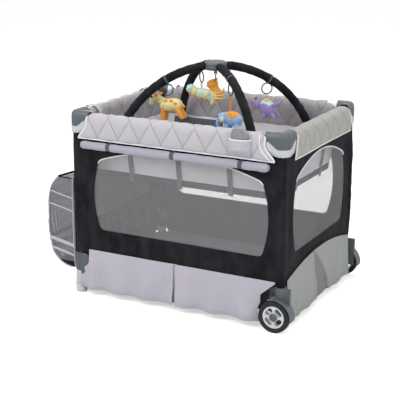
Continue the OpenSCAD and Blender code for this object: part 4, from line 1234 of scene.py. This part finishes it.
class YARD_OT_bag(bpy.types.Operator):
    """Organiser bag on the left end"""

    bl_idname = "yard.bag"
    bl_label = "Organiser bag"

    belly = ((0.56, 1.0), (0.81, 0.905), (0.965, 0.74), (1.0, 0.53), (0.99, 0.36), (0.89, 0.165),
             (0.62, 0.05), (0.28, 0.0), (0.03, 0.0))
    # Pale stripes of the mesh, as height and half width
    stripes = ((0.83, 0.0075), (0.69, 0.0085), (0.3, 0.02), (0.19, 0.015))
    # Distance of the back from the posts, height of the bag and width of a strap
    near, high, strap_width = 0.0303, 0.4, 0.03
    rows = 110

    def execute(self, context):
        (x0, y0, z0), (x1, y1, z1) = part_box("organiser_bag")
        put = on_side("left")
        near, high = self.near, self.high
        deep, half = -x0 - POST_X - near, y1 - 0.002
        line = smooth_curve([(d, h, 0) for d, h in self.belly], self.rows)

        def front(i, j):
            across = 2 * i - 1
            k = min(int(j * self.rows), self.rows - 1)
            p = line[k].lerp(line[k + 1], j * self.rows - k)
            sag = 0.004 * crumple(across * 4, p.y * 5, 41.5)
            dip = 0.012 * (1 - across * across) * ease(1 - j * 5)
            return put(across * half, z0 + p.y * high - dip, near + p.x * deep * 0.985 + sag * p.x)

        def end(sign):
            def place(i, j):
                p = front(1.0 if sign > 0 else 0.0, j)
                flat = put(sign * half, p.z, near)
                return p.lerp(flat, i)
            return place

        def back(i, j):
            return put((2 * i - 1) * half, z0 + mix(1.0, 0.0, j) * high, near)

        def band(i, j):
            return 1 if j < 0.03 or line[round(j * self.rows)].y < 0.055 else 0

        def row_at(height):
            """Share of the way down the belly at which it has a height."""
            k = next(k for k in range(self.rows) if line[k + 1].y <= height)
            return (k + (line[k].y - height) / max(line[k].y - line[k + 1].y, 1e-6)) / self.rows

        bag = Shape()
        bag.grid(64, self.rows, front, band)
        for sign in (1, -1):
            bag.grid(12, self.rows, end(sign), band)
        bag.grid(32, 20, back, 1)
        made = bag.piece("organiser_pouch", ["bag_net", "wall_cloth"], "organiser_bag")
        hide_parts("organiser_bag")
        rim = Shape()
        rim.tube([front(i / 60, 0) for i in range(61)], 0.0045, 8, 0)
        proud = step_of(put, out=0.0012)
        for height, wide in self.stripes:
            rim.grid(64, 4, lambda i, j: front(i, row_at(height + (2 * j - 1) * wide)) + proud, 1)
        for s in (-1, 1):
            aside = step_of(put, along=s * 0.0012)
            for height, wide in self.stripes:
                rim.grid(16, 4, lambda i, j: aside + end(s)(
                    i * 0.94, row_at(height - 0.06 * i + (2 * j - 1) * wide)), 1)
            rim.tube([end(s)(0.0, j / 50) for j in range(47)], 0.0032, 8, 1)
            rim.tube([end(s)(0.94, j / 50) for j in range(47)], 0.0032, 8, 1)
            side = s * half * 2 / 3
            top = COVER_TOP + 0.0038
            path = [put(side, z0 + high - 0.05, near + 0.001), put(side, z0 + high, near + 0.001),
                    put(side, top - 0.03, near + 0.0095), put(side, top - 0.012, near + 0.008),
                    put(side, top + 0.006, 0.018), put(side, top + 0.0075, 0.0),
                    put(side, top + 0.006, -0.022), put(side, top - 0.012, -0.0395),
                    put(side, top - 0.03, -0.0425)]
            rim.ribbon(smooth_curve(path, 30), (0, 1, 0), self.strap_width, 1)
        made = rim.piece("organiser_straps", ["wall_cloth", "pale_cloth"], "organiser_bag")
        return {"FINISHED"}


# Arch of the toy bar: its radius, the height of its middle, and the angles of its legs from above and along
ARCH = {"radius": 0.448, "middle": 0.524, "angle": 41.0, "sweep": 68.0}


def leg_turn(sx, sy):
    a = math.radians(ARCH["angle"])
    return math.atan2(sy * math.sin(a), sx * math.cos(a))


def leg_height(reach):
    return ARCH["middle"] + math.sqrt(ARCH["radius"] ** 2 - reach ** 2)


class YARD_OT_toy_bar(bpy.types.Operator):
    """Padded legs and middle piece of the toy bar"""

    bl_idname = "yard.toy_bar"
    bl_label = "Toy bar"

    # Underside of the middle piece, and the radius and wire of the eye below it
    hub_low, eye_r, eye_wire = 0.953, 0.0075, 0.0028
    # Angle at which the legs end under the middle piece, and how far in from the posts their clips end
    upper_end, clip_in = 84.2, 0.0385

    def execute(self, context):
        radius, hub_low = sizes().leg_radius, self.hub_low
        legs = Shape()
        for sx, sy in CORNERS.values():
            turn = leg_turn(sx, sy)
            path = []
            for k in range(73):
                a = math.radians(mix(90 - ARCH["sweep"], self.upper_end, k / 72))
                reach = ARCH["radius"] * math.cos(a)
                path.append((reach * math.cos(turn), reach * math.sin(turn),
                             ARCH["middle"] + ARCH["radius"] * math.sin(a)))

            def girth(t, seed=sx + 3 * sy):
                pinch = 0.9 if t < 0.012 or t > 0.985 else 1.0
                return radius * pinch * (1 + 0.05 * crumple(t * 24, 0, seed) + 0.025 * math.sin(t * 75))

            legs.tube(path, girth, 20, 0)
            low = Vector(path[0])
            away = Vector((math.cos(turn), math.sin(turn), 0))
            wall = POST_Y - self.clip_in
            legs.tube([low - Vector((0, 0, 0.004)), low + Vector((0, 0, -0.018)) + away * 0.006,
                       Vector((low.x + away.x * 0.008, sy * (abs(low.y) + wall) / 2, low.z - 0.021)),
                       Vector((low.x + away.x * 0.008, sy * wall, low.z - 0.022))],
                      lambda t: mix(0.0145, 0.0105, t), 14, 1)
        made = legs.piece("toy_bar_sleeves", ["wall_cloth", "dark_plastic"], "toy_bar",
                          outward=True)
        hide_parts("toy_bar_legs")

        hub = Shape()
        hub.lathe([(0, 0), (0.03, 0), (0.043, 0.001), (0.0475, 0.005), (0.0485, 0.012), (0.0485, 0.018),
                   (0.0475, 0.0187), (0.0475, 0.0198), (0.0485, 0.0205), (0.048, 0.027), (0.045, 0.0325),
                   (0.039, 0.0358), (0.03, 0.0372), (0.0285, 0.0366), (0.027, 0.0366), (0.0255, 0.0374),
                   (0.012, 0.038), (0, 0.038)], (0, 0, hub_low), (0, 0, 1), 64, 0)
        eye = [(0.0, self.eye_r * math.cos(a), hub_low - 0.006 + self.eye_r * math.sin(a)) for a in turns(20)]
        hub.tube(eye, self.eye_wire, 8, 0, closed=True)
        made = hub.piece("toy_bar_knob", ["dark_plastic"], "toy_bar", outward=True)
        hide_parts("toy_bar_hub")
        return {"FINISHED"}


# Places of the finishes in a toy's list
YELLOW, ORANGE, MINT, BLUE, PURPLE, LOOP, EYE = range(7)


class YARD_OT_toys(bpy.types.Operator):
    """Five stuffed toys on loops"""

    bl_idname = "yard.toys"
    bl_label = "Toys"

    # Radius and wire of a toy's ring, and width of a loop
    ring_r, ring_wire, loop_width = 0.023, 0.0027, 0.009
    # Place of the eye that the middle toy hangs from, and how far below it the toy is
    eye_z, tiger_drop = 0.945, 0.086
    plushes = ("yellow", "orange", "mint", "blue", "purple", "strap", "tyre")

    def execute(self, context):
        self.giraffe()
        self.worm()
        self.tiger()
        self.elephant()
        self.bug()
        return {"FINISHED"}

    def hang(self, toy, sx, sy, reach, drop, ribbon, wide=loop_width):
        """Loop, ring and ribbon from a leg down to the toy; gives the toy's middle."""
        turn, tilt = leg_turn(sx, sy), math.asin(reach / ARCH["radius"])
        away = Vector((math.cos(turn), math.sin(turn), 0))
        leg = away * reach + Vector((0, 0, leg_height(reach)))
        along = away * math.cos(tilt) - Vector((0, 0, math.sin(tilt)))
        across = along.cross(away.cross(Vector((0, 0, 1))))
        side = along.cross(across)
        r = sizes().leg_radius + 0.0022
        loop = [leg + (across * math.cos(a) + side * math.sin(a)) * r for a in turns(32) + [math.tau]]
        toy.ribbon(loop, along, self.loop_width, LOOP)
        low = leg + across * (r if across.z < 0 else -r)
        ring_r = self.ring_r
        centre = low - Vector((0, 0, ring_r + 0.001))
        ring = [centre + (away * math.cos(a) + Vector((0, 0, math.sin(a)))) * ring_r for a in turns(28)]
        toy.tube(ring, self.ring_wire, 8, LOOP, closed=True)
        middle = Vector((low.x, low.y, leg.z - drop))
        top = centre - Vector((0, 0, ring_r - 0.002))
        toy.ribbon([top.lerp(middle, k / 6) for k in range(7)], away.cross(Vector((0, 0, 1))), wide, ribbon)
        return middle

    def grow(self, toy, start, middle, size):
        """Scales what was added to a toy since a start."""
        for point in toy.points[start:]:
            point.xyz = middle + (point - middle) * size

    def limbs(self, toy, middle, rows):
        """Stuffed limbs: start, radius, end, radius, finish and any counts of faces."""
        for start, r1, end, r2, *rest in rows:
            toy.limb(middle + Vector(start), r1, middle + Vector(end), r2, *rest)

    def pairs(self, toy, middle, rows):
        """The same on both sides of a toy."""
        for way in (-1, 1):
            self.limbs(toy, middle, [((a, way * b, c), r1, (d, way * e, f), r2, *rest)
                                     for (a, b, c), r1, (d, e, f), r2, *rest in rows])

    def eyes(self, toy, middle, place, r=0.0035):
        self.pairs(toy, middle, [(place, r, place, r, EYE, 10, 8)])

    def done(self, toy, name, slot):
        made = toy.piece(f"plush_{name}", self.plushes, f"toy_{name}", outward=True)
        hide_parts(f"toy_{name}")

    def giraffe(self):
        toy = Shape()
        m = self.hang(toy, -1, -1, 0.215, 0.106, PURPLE, 0.026)
        start = len(toy.points)
        self.limbs(toy, m, (
            ((-0.006, 0, 0), 0.025, (0.034, 0, 0.004), 0.023, YELLOW),
            ((-0.012, 0, 0.008), 0.017, (-0.049, 0, 0.022), 0.0115, YELLOW),
            ((-0.05, 0, 0.024), 0.0145, (-0.064, 0, 0.01), 0.0105, YELLOW),
            ((-0.065, 0, 0.006), 0.0095, (-0.067, 0, 0.002), 0.0085, MINT)))
        self.pairs(toy, m, (
            ((-0.012, 0.011, -0.014), 0.0105, (-0.014, 0.011, -0.05), 0.0085, ORANGE),
            ((0.042, 0.011, -0.008), 0.0105, (0.062, 0.011, -0.036), 0.0085, ORANGE),
            ((-0.05, 0.0066, 0.036), 0.0034, (-0.05, 0.0088, 0.047), 0.0046, BLUE, 10, 8),
            ((-0.042, 0.011, 0.032), 0.006, (-0.034, 0.0165, 0.038), 0.0042, ORANGE, 10, 8)))
        for x, z in ((0.0, 0.018), (0.022, 0.02), (0.038, 0.012)):
            self.pairs(toy, m, [((x, 0.017, z), 0.0055, (x + 0.003, 0.017, z), 0.0055, ORANGE, 12, 8)])
        self.limbs(toy, m, [((0.055, 0, 0.012), 0.003, (0.066, 0, 0.0), 0.0045, ORANGE, 10, 8)])
        self.eyes(toy, m, (-0.059, 0.0125, 0.026))
        self.grow(toy, start, m, 1.18)
        self.done(toy, "giraffe", "toy_yellow")

    def worm(self):
        toy = Shape()
        m = self.hang(toy, -1, 1, 0.170, 0.112, MINT)
        start = len(toy.points)
        beads = ((-0.045, 0.012, 0.017, MINT), (-0.024, 0.002, 0.0175, YELLOW),
                 (-0.002, -0.004, 0.0185, MINT), (0.02, -0.007, 0.0175, YELLOW),
                 (0.044, -0.009, 0.0205, MINT))
        for x, z, r, tone in beads:
            self.limbs(toy, m, [((x - 0.002, 0, z), r, (x + 0.002, 0, z), r, tone)])
            self.pairs(toy, m, [((x, 0.009, z - r * 0.8), 0.005, (x, 0.0099, z - r - 0.002), 0.0042,
                                 ORANGE, 10, 8)])
        for way in (-1, 1):
            self.feeler(toy, m, (-0.048, way * 0.006, 0.026), (-0.052, way * 0.0084, 0.034),
                        (-0.058, way * 0.0096, 0.038))
        self.eyes(toy, m, (-0.0575, 0.009, 0.017))
        self.grow(toy, start, m, 1.16)
        self.done(toy, "worm", "toy_mint")

    def feeler(self, toy, middle, *path, radius=0.0014, tone=EYE):
        toy.tube([middle + Vector(p) for p in path], radius, 6, tone)

    def tiger(self):
        toy = Shape()
        eye_z = self.eye_z
        m = Vector((0, 0, eye_z - self.tiger_drop))
        loop = [Vector((0.006 * math.cos(a), 0, eye_z - 0.0045 + 0.0075 * math.sin(a))) for a in turns(20)]
        toy.tube(loop, 0.0018, 6, LOOP, closed=True)
        ribbon = [(0, 0, mix(eye_z - 0.012, m.z + 0.02, k / 4)) for k in range(5)]
        toy.ribbon(ribbon, (0, 1, 0), self.loop_width, LOOP)
        self.limbs(toy, m, (
            ((-0.012, 0, 0.03), 0.0225, (-0.016, 0, 0.029), 0.0215, ORANGE),
            ((-0.004, 0, 0.008), 0.0215, (0.008, 0, -0.016), 0.0255, ORANGE),
            ((-0.004, -0.008, -0.004), 0.0165, (0.006, -0.0105, -0.018), 0.018, YELLOW),
            ((-0.03, 0, 0.024), 0.0085, (-0.0345, 0, 0.0235), 0.0075, YELLOW)))
        self.pairs(toy, m, (
            ((-0.006, 0.013, 0.047), 0.0078, (-0.004, 0.01495, 0.0505), 0.0058, ORANGE, 12, 8),
            ((-0.016, 0.0156, -0.002), 0.009, (-0.031, 0.0195, -0.014), 0.0078, MINT),
            ((0.0, 0.013, -0.03), 0.01, (-0.008, 0.01625, -0.046), 0.0085, YELLOW)))
        self.limbs(toy, m, (
            ((0.026, 0, -0.02), 0.005, (0.038, 0, 0.008), 0.0045, ORANGE, 10, 10),
            ((0.038, 0, 0.01), 0.005, (0.0385, 0, 0.018), 0.004, YELLOW, 10, 8)))
        for z, r in ((0.0, 0.0232), (-0.012, 0.0252), (-0.024, 0.0248)):
            ring = [m + Vector((0.004 - z * 0.5 + r * math.cos(a), r * math.sin(a), z)) for a in
                    (math.radians(d) for d in range(-120, 121, 10))]
            toy.tube(ring, 0.0024, 6, YELLOW)
        self.eyes(toy, m, (-0.0325, 0.0105, 0.036))
        self.done(toy, "tiger", "toy_orange")

    def elephant(self):
        toy = Shape()
        m = self.hang(toy, 1, -1, 0.172, 0.168, ORANGE)
        start = len(toy.points)
        self.limbs(toy, m, (
            ((0, 0, 0.004), 0.0255, (0.022, 0, 0.003), 0.0235, BLUE),
            ((-0.028, 0, 0.006), 0.0195, (-0.032, 0, 0.005), 0.0185, BLUE)))
        trunk = ((-0.042, 0, 0.0), (-0.048, 0, -0.01), (-0.0495, 0, -0.022), (-0.046, 0, -0.031))
        toy.tube(smooth_curve([m + Vector(p) for p in trunk], 14), lambda t: mix(0.0095, 0.006, t), 14, BLUE)
        self.limbs(toy, m, [((-0.046, 0, -0.031), 0.0062, (-0.0445, 0, -0.0325), 0.006, BLUE, 12, 8)])
        self.pairs(toy, m, (
            ((-0.022, 0.0165, 0.012), 0.0125, (-0.018, 0.0195, 0.004), 0.0135, BLUE),
            ((-0.0205, 0.0255, 0.009), 0.0078, (-0.0185, 0.0268, 0.004), 0.0082, YELLOW, 14, 10),
            ((-0.008, 0.012, -0.016), 0.0098, (-0.009, 0.0125, -0.0315), 0.0095, BLUE),
            ((0.03, 0.012, -0.014), 0.0098, (0.031, 0.0125, -0.0315), 0.0095, BLUE)))
        self.limbs(toy, m, [((0.004, 0, 0.0085), 0.0242, (0.018, 0, 0.0075), 0.0228, ORANGE)])
        self.feeler(toy, m, (0.042, 0, 0.008), (0.048, 0, 0.002), (0.049, 0, -0.006),
                    radius=0.0018, tone=BLUE)
        self.eyes(toy, m, (-0.044, 0.0115, 0.011))
        self.grow(toy, start, m, 1.16)
        self.done(toy, "elephant", "toy_blue")

    def bug(self):
        toy = Shape()
        m = self.hang(toy, 1, 1, 0.236, 0.128, ORANGE)
        start = len(toy.points)
        self.limbs(toy, m, (
            ((-0.036, 0, 0.012), 0.019, (-0.039, 0, 0.012), 0.0185, PURPLE),
            ((0.0, 0, 0.006), 0.0265, (0.014, 0, -0.002), 0.0255, PURPLE),
            ((-0.002, 0, 0.012), 0.0232, (0.012, 0, 0.006), 0.0225, MINT)))
        self.pairs(toy, m, (
            ((0.022, 0.008, 0.01), 0.0082, (0.044, 0.012, 0.022), 0.007, PURPLE),
            ((0.022, 0.01, -0.012), 0.0082, (0.04, 0.015, -0.026), 0.0075, PURPLE),
            ((-0.002, 0.012, -0.018), 0.0082, (-0.01, 0.016, -0.034), 0.0075, PURPLE),
            ((-0.05, 0.01, 0.04), 0.003, (-0.0505, 0.01, 0.0405), 0.003, YELLOW, 10, 8)))
        for way in (-1, 1):
            self.feeler(toy, m, (-0.042, way * 0.006, 0.028), (-0.046, way * 0.008, 0.036),
                        (-0.05, way * 0.01, 0.04))
        self.limbs(toy, m, [((x, -0.008, z), 0.0055, (x, 0.008, z), 0.0055, YELLOW, 10, 8)
                            for x, z in ((-0.006, 0.03), (0.012, 0.026), (0.003, 0.033))])
        self.eyes(toy, m, (-0.051, 0.0095, 0.018))
        self.grow(toy, start, m, 1.14)
        self.done(toy, "bug", "toy_purple")


class YARD_OT_wheels(bpy.types.Operator):
    """Hub caps of the wheels, and the finish of tyres and rims"""

    bl_idname = "yard.wheels"
    bl_label = "Wheels"

    def execute(self, context):
        for corner in ("front_right", "back_right"):
            sy = CORNERS[corner][1]
            (x0, y0, z0), (x1, y1, z1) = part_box(f"wheel_rim_{corner}")
            dress(f"wheel_rim_{corner}", "pale_plastic")
            dress(f"wheel_tyre_{corner}", "tyre")
            face = y0 if sy < 0 else y1
            cap = Shape()
            cap.lathe([(0.0105, -0.001), (0.0165, -0.001), (0.0168, 0.003), (0.0155, 0.0056), (0.012, 0.0072),
                       (0.0085, 0.0076), (0.008, 0.0071), (0.004, 0.0078), (0, 0.008)],
                      ((x0 + x1) / 2, face, (z0 + z1) / 2), (0, sy, 0), 40, 0)
            made = cap.piece(f"hub_cap_{corner}", ["dark_plastic"], f"wheel_{corner}")
        return {"FINISHED"}


def dress(node, name):
    """Gives a carried CAD node its finish."""
    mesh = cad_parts[node].data
    mesh.materials.clear()
    mesh.materials.append(finish(name))


class YARD_OT_frame(bpy.types.Operator):
    """Steel tubes, plastic brackets and buttons of the folding frame"""

    bl_idname = "yard.frame"
    bl_label = "Frame"

    steel = ("corner_post", "rail_", "base_leg")
    plastic = ("base_hub", "wheel_bracket", "latch_button")

    def execute(self, context):
        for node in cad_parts:
            if node.startswith(self.steel):
                dress(node, "steel")
            elif node.startswith("foot_"):
                dress(node, "foot_plastic")
            elif node.startswith(self.plastic):
                dress(node, "pale_plastic" if node.startswith("latch") else "dark_plastic")
        return {"FINISHED"}


class YARD_OT_foot_plates(bpy.types.Operator):
    """Moulded plates of the plain feet, behind the ends of the long skirts"""

    bl_idname = "yard.foot_plates"
    bl_label = "Foot plates"

    # Outline from the post, as distance along the wall and height
    outline = ((0.004, 0.179), (0.038, 0.179), (0.048, 0.172), (0.0555, 0.158), (0.056, 0.14), (0.05, 0.118),
               (0.036, 0.1), (0.02, 0.086), (0.004, 0.082))

    def execute(self, context):
        line = smooth_curve([(x, z, 0) for x, z in self.outline], 40)
        for corner in ("front_left", "back_left"):
            sy = CORNERS[corner][1]

            def face(i, j):
                p = line[round(i * 40)]
                x, z = mix(0.004, p.x, min(j * 1.25, 1)), p.y
                out = WALL_OUT + (0.0034 if j < 0.85 else 0.001)
                return Vector((-POST_X + x, sy * (POST_Y + out), z))

            plate = Shape()
            plate.grid(40, 8, face, 0)
            made = plate.piece(f"foot_plate_{corner}", ["dark_plastic"], f"post_{corner}")
        return {"FINISHED"}


class YARD_OT_stage(bpy.types.Operator):
    """Pale floor, soft studio light and the camera"""

    bl_idname = "yard.stage"
    bl_label = "Stage"

    def execute(self, context):
        self.camera(context.scene)
        self.world(context.scene)
        self.floor()
        self.lamp("Key", (-1.6, -3.2, 3.4), 2.6, 95)
        self.lamp("Fill", (3.4, -1.4, 2.2), 2.4, 42)
        self.lamp("Top", (0.2, 0.6, 3.6), 2.8, 45)
        context.scene.view_settings.view_transform = "Standard"
        return {"FINISHED"}

    def camera(self, scene):
        view = scene.yard_camera
        lens = bpy.data.cameras.new("Camera")
        lens.lens, lens.sensor_width = view.lens, 36
        eye = bpy.data.objects.new("Camera", lens)
        a, e = view.azimuth, view.elevation
        back = Vector((math.sin(a) * math.cos(e), -math.cos(a) * math.cos(e), math.sin(e)))
        eye.location = Vector(view.target) + back * view.distance
        eye.rotation_euler = back.to_track_quat("Z", "Y").to_euler()
        scene.collection.objects.link(eye)
        scene.camera = eye

    def world(self, scene):
        scene.world = bpy.data.worlds.new("Studio")
        scene.world.use_nodes = True
        nodes, links = scene.world.node_tree.nodes, scene.world.node_tree.links
        light = nodes["Background"]
        light.inputs["Color"].default_value = (0.9, 0.92, 0.95, 1)
        light.inputs["Strength"].default_value = 0.55
        white = nodes.new("ShaderNodeBackground")
        white.inputs["Color"].default_value = (1, 1, 1, 1)
        seen, either, any_of, blend = (nodes.new("ShaderNode" + k) for k in (
            "LightPath", "Math", "Math", "MixShader"))
        either.operation = any_of.operation = "MAXIMUM"
        for start, end in (
                (seen.outputs["Is Camera Ray"], either.inputs[0]),
                (seen.outputs["Is Glossy Ray"], either.inputs[1]), (either.outputs[0], any_of.inputs[0]),
                (seen.outputs["Is Transmission Ray"], any_of.inputs[1]), (any_of.outputs[0], blend.inputs[0]),
                (light.outputs[0], blend.inputs[1]), (white.outputs[0], blend.inputs[2]),
                (blend.outputs[0], nodes["World Output"].inputs["Surface"])):
            links.new(start, end)

    def floor(self):
        mesh = bpy.data.meshes.new("Floor")
        mesh.from_pydata([(-14, -8, 0), (14, -8, 0), (14, 20, 0), (-14, 20, 0)], [], [(0, 1, 2, 3)])
        made = Finish("floor", (0.9, 0.9, 0.9), 0.95, Specular_IOR_Level=0.1)
        seen = made.add("ShaderNodeLightPath")
        made.shader.inputs["Emission Color"].default_value = (1, 1, 1, 1)
        made.links.new(made.math("MULTIPLY", seen.outputs["Is Camera Ray"], 0.52),
                       made.shader.inputs["Emission Strength"])
        mesh.materials.append(made.material)
        floor = bpy.data.objects.new("Floor", mesh)
        bpy.context.scene.collection.objects.link(floor)

    def lamp(self, name, at, size, power):
        light = bpy.data.lights.new(name, "AREA")
        light.size, light.energy = size, power
        lamp = bpy.data.objects.new(name, light)
        lamp.location = at
        lamp.rotation_euler = (Vector(at) - Vector((0, 0, 0.45))).to_track_quat("Z", "Y").to_euler()
        bpy.context.scene.collection.objects.link(lamp)


class YARD_PT_panel(bpy.types.Panel):
    """Lists the pieces of the yard"""

    bl_label = "Play yard"
    bl_idname = "YARD_PT_panel"
    bl_space_type = "VIEW_3D"
    bl_region_type = "UI"
    bl_category = "Play yard"

    def draw(self, context):
        for kind in OPERATORS:
            self.layout.operator(kind.bl_idname)
        for group in ("yard_sizes", "yard_colours", "yard_camera"):
            values = getattr(context.scene, group)
            box = self.layout.box()
            for name in values.bl_rna.properties.keys():
                if name not in ("rna_type", "name"):
                    box.prop(values, name)


OPERATORS = (YARD_OT_stage, YARD_OT_frame, YARD_OT_caps, YARD_OT_walls, YARD_OT_skirts, YARD_OT_floor_cloth,
             YARD_OT_covers, YARD_OT_bassinet, YARD_OT_roll, YARD_OT_sound_unit, YARD_OT_toy_bar,
             YARD_OT_toys, YARD_OT_bag, YARD_OT_wheels, YARD_OT_foot_plates)
GROUPS = {"yard_sizes": YardSizes, "yard_colours": YardColours, "yard_camera": YardCamera}


def register():
    for kind in (*GROUPS.values(), *OPERATORS, YARD_PT_panel):
        bpy.utils.register_class(kind)
    for name, group in GROUPS.items():
        setattr(bpy.types.Scene, name, PointerProperty(type=group))


def unregister():
    for name in GROUPS:
        delattr(bpy.types.Scene, name)
    for kind in reversed((*GROUPS.values(), *OPERATORS, YARD_PT_panel)):
        bpy.utils.unregister_class(kind)


def main():
    register()
    for kind in OPERATORS:
        group, name = kind.bl_idname.split(".")
        getattr(getattr(bpy.ops, group), name)()


if __name__ == "__main__":
    main()
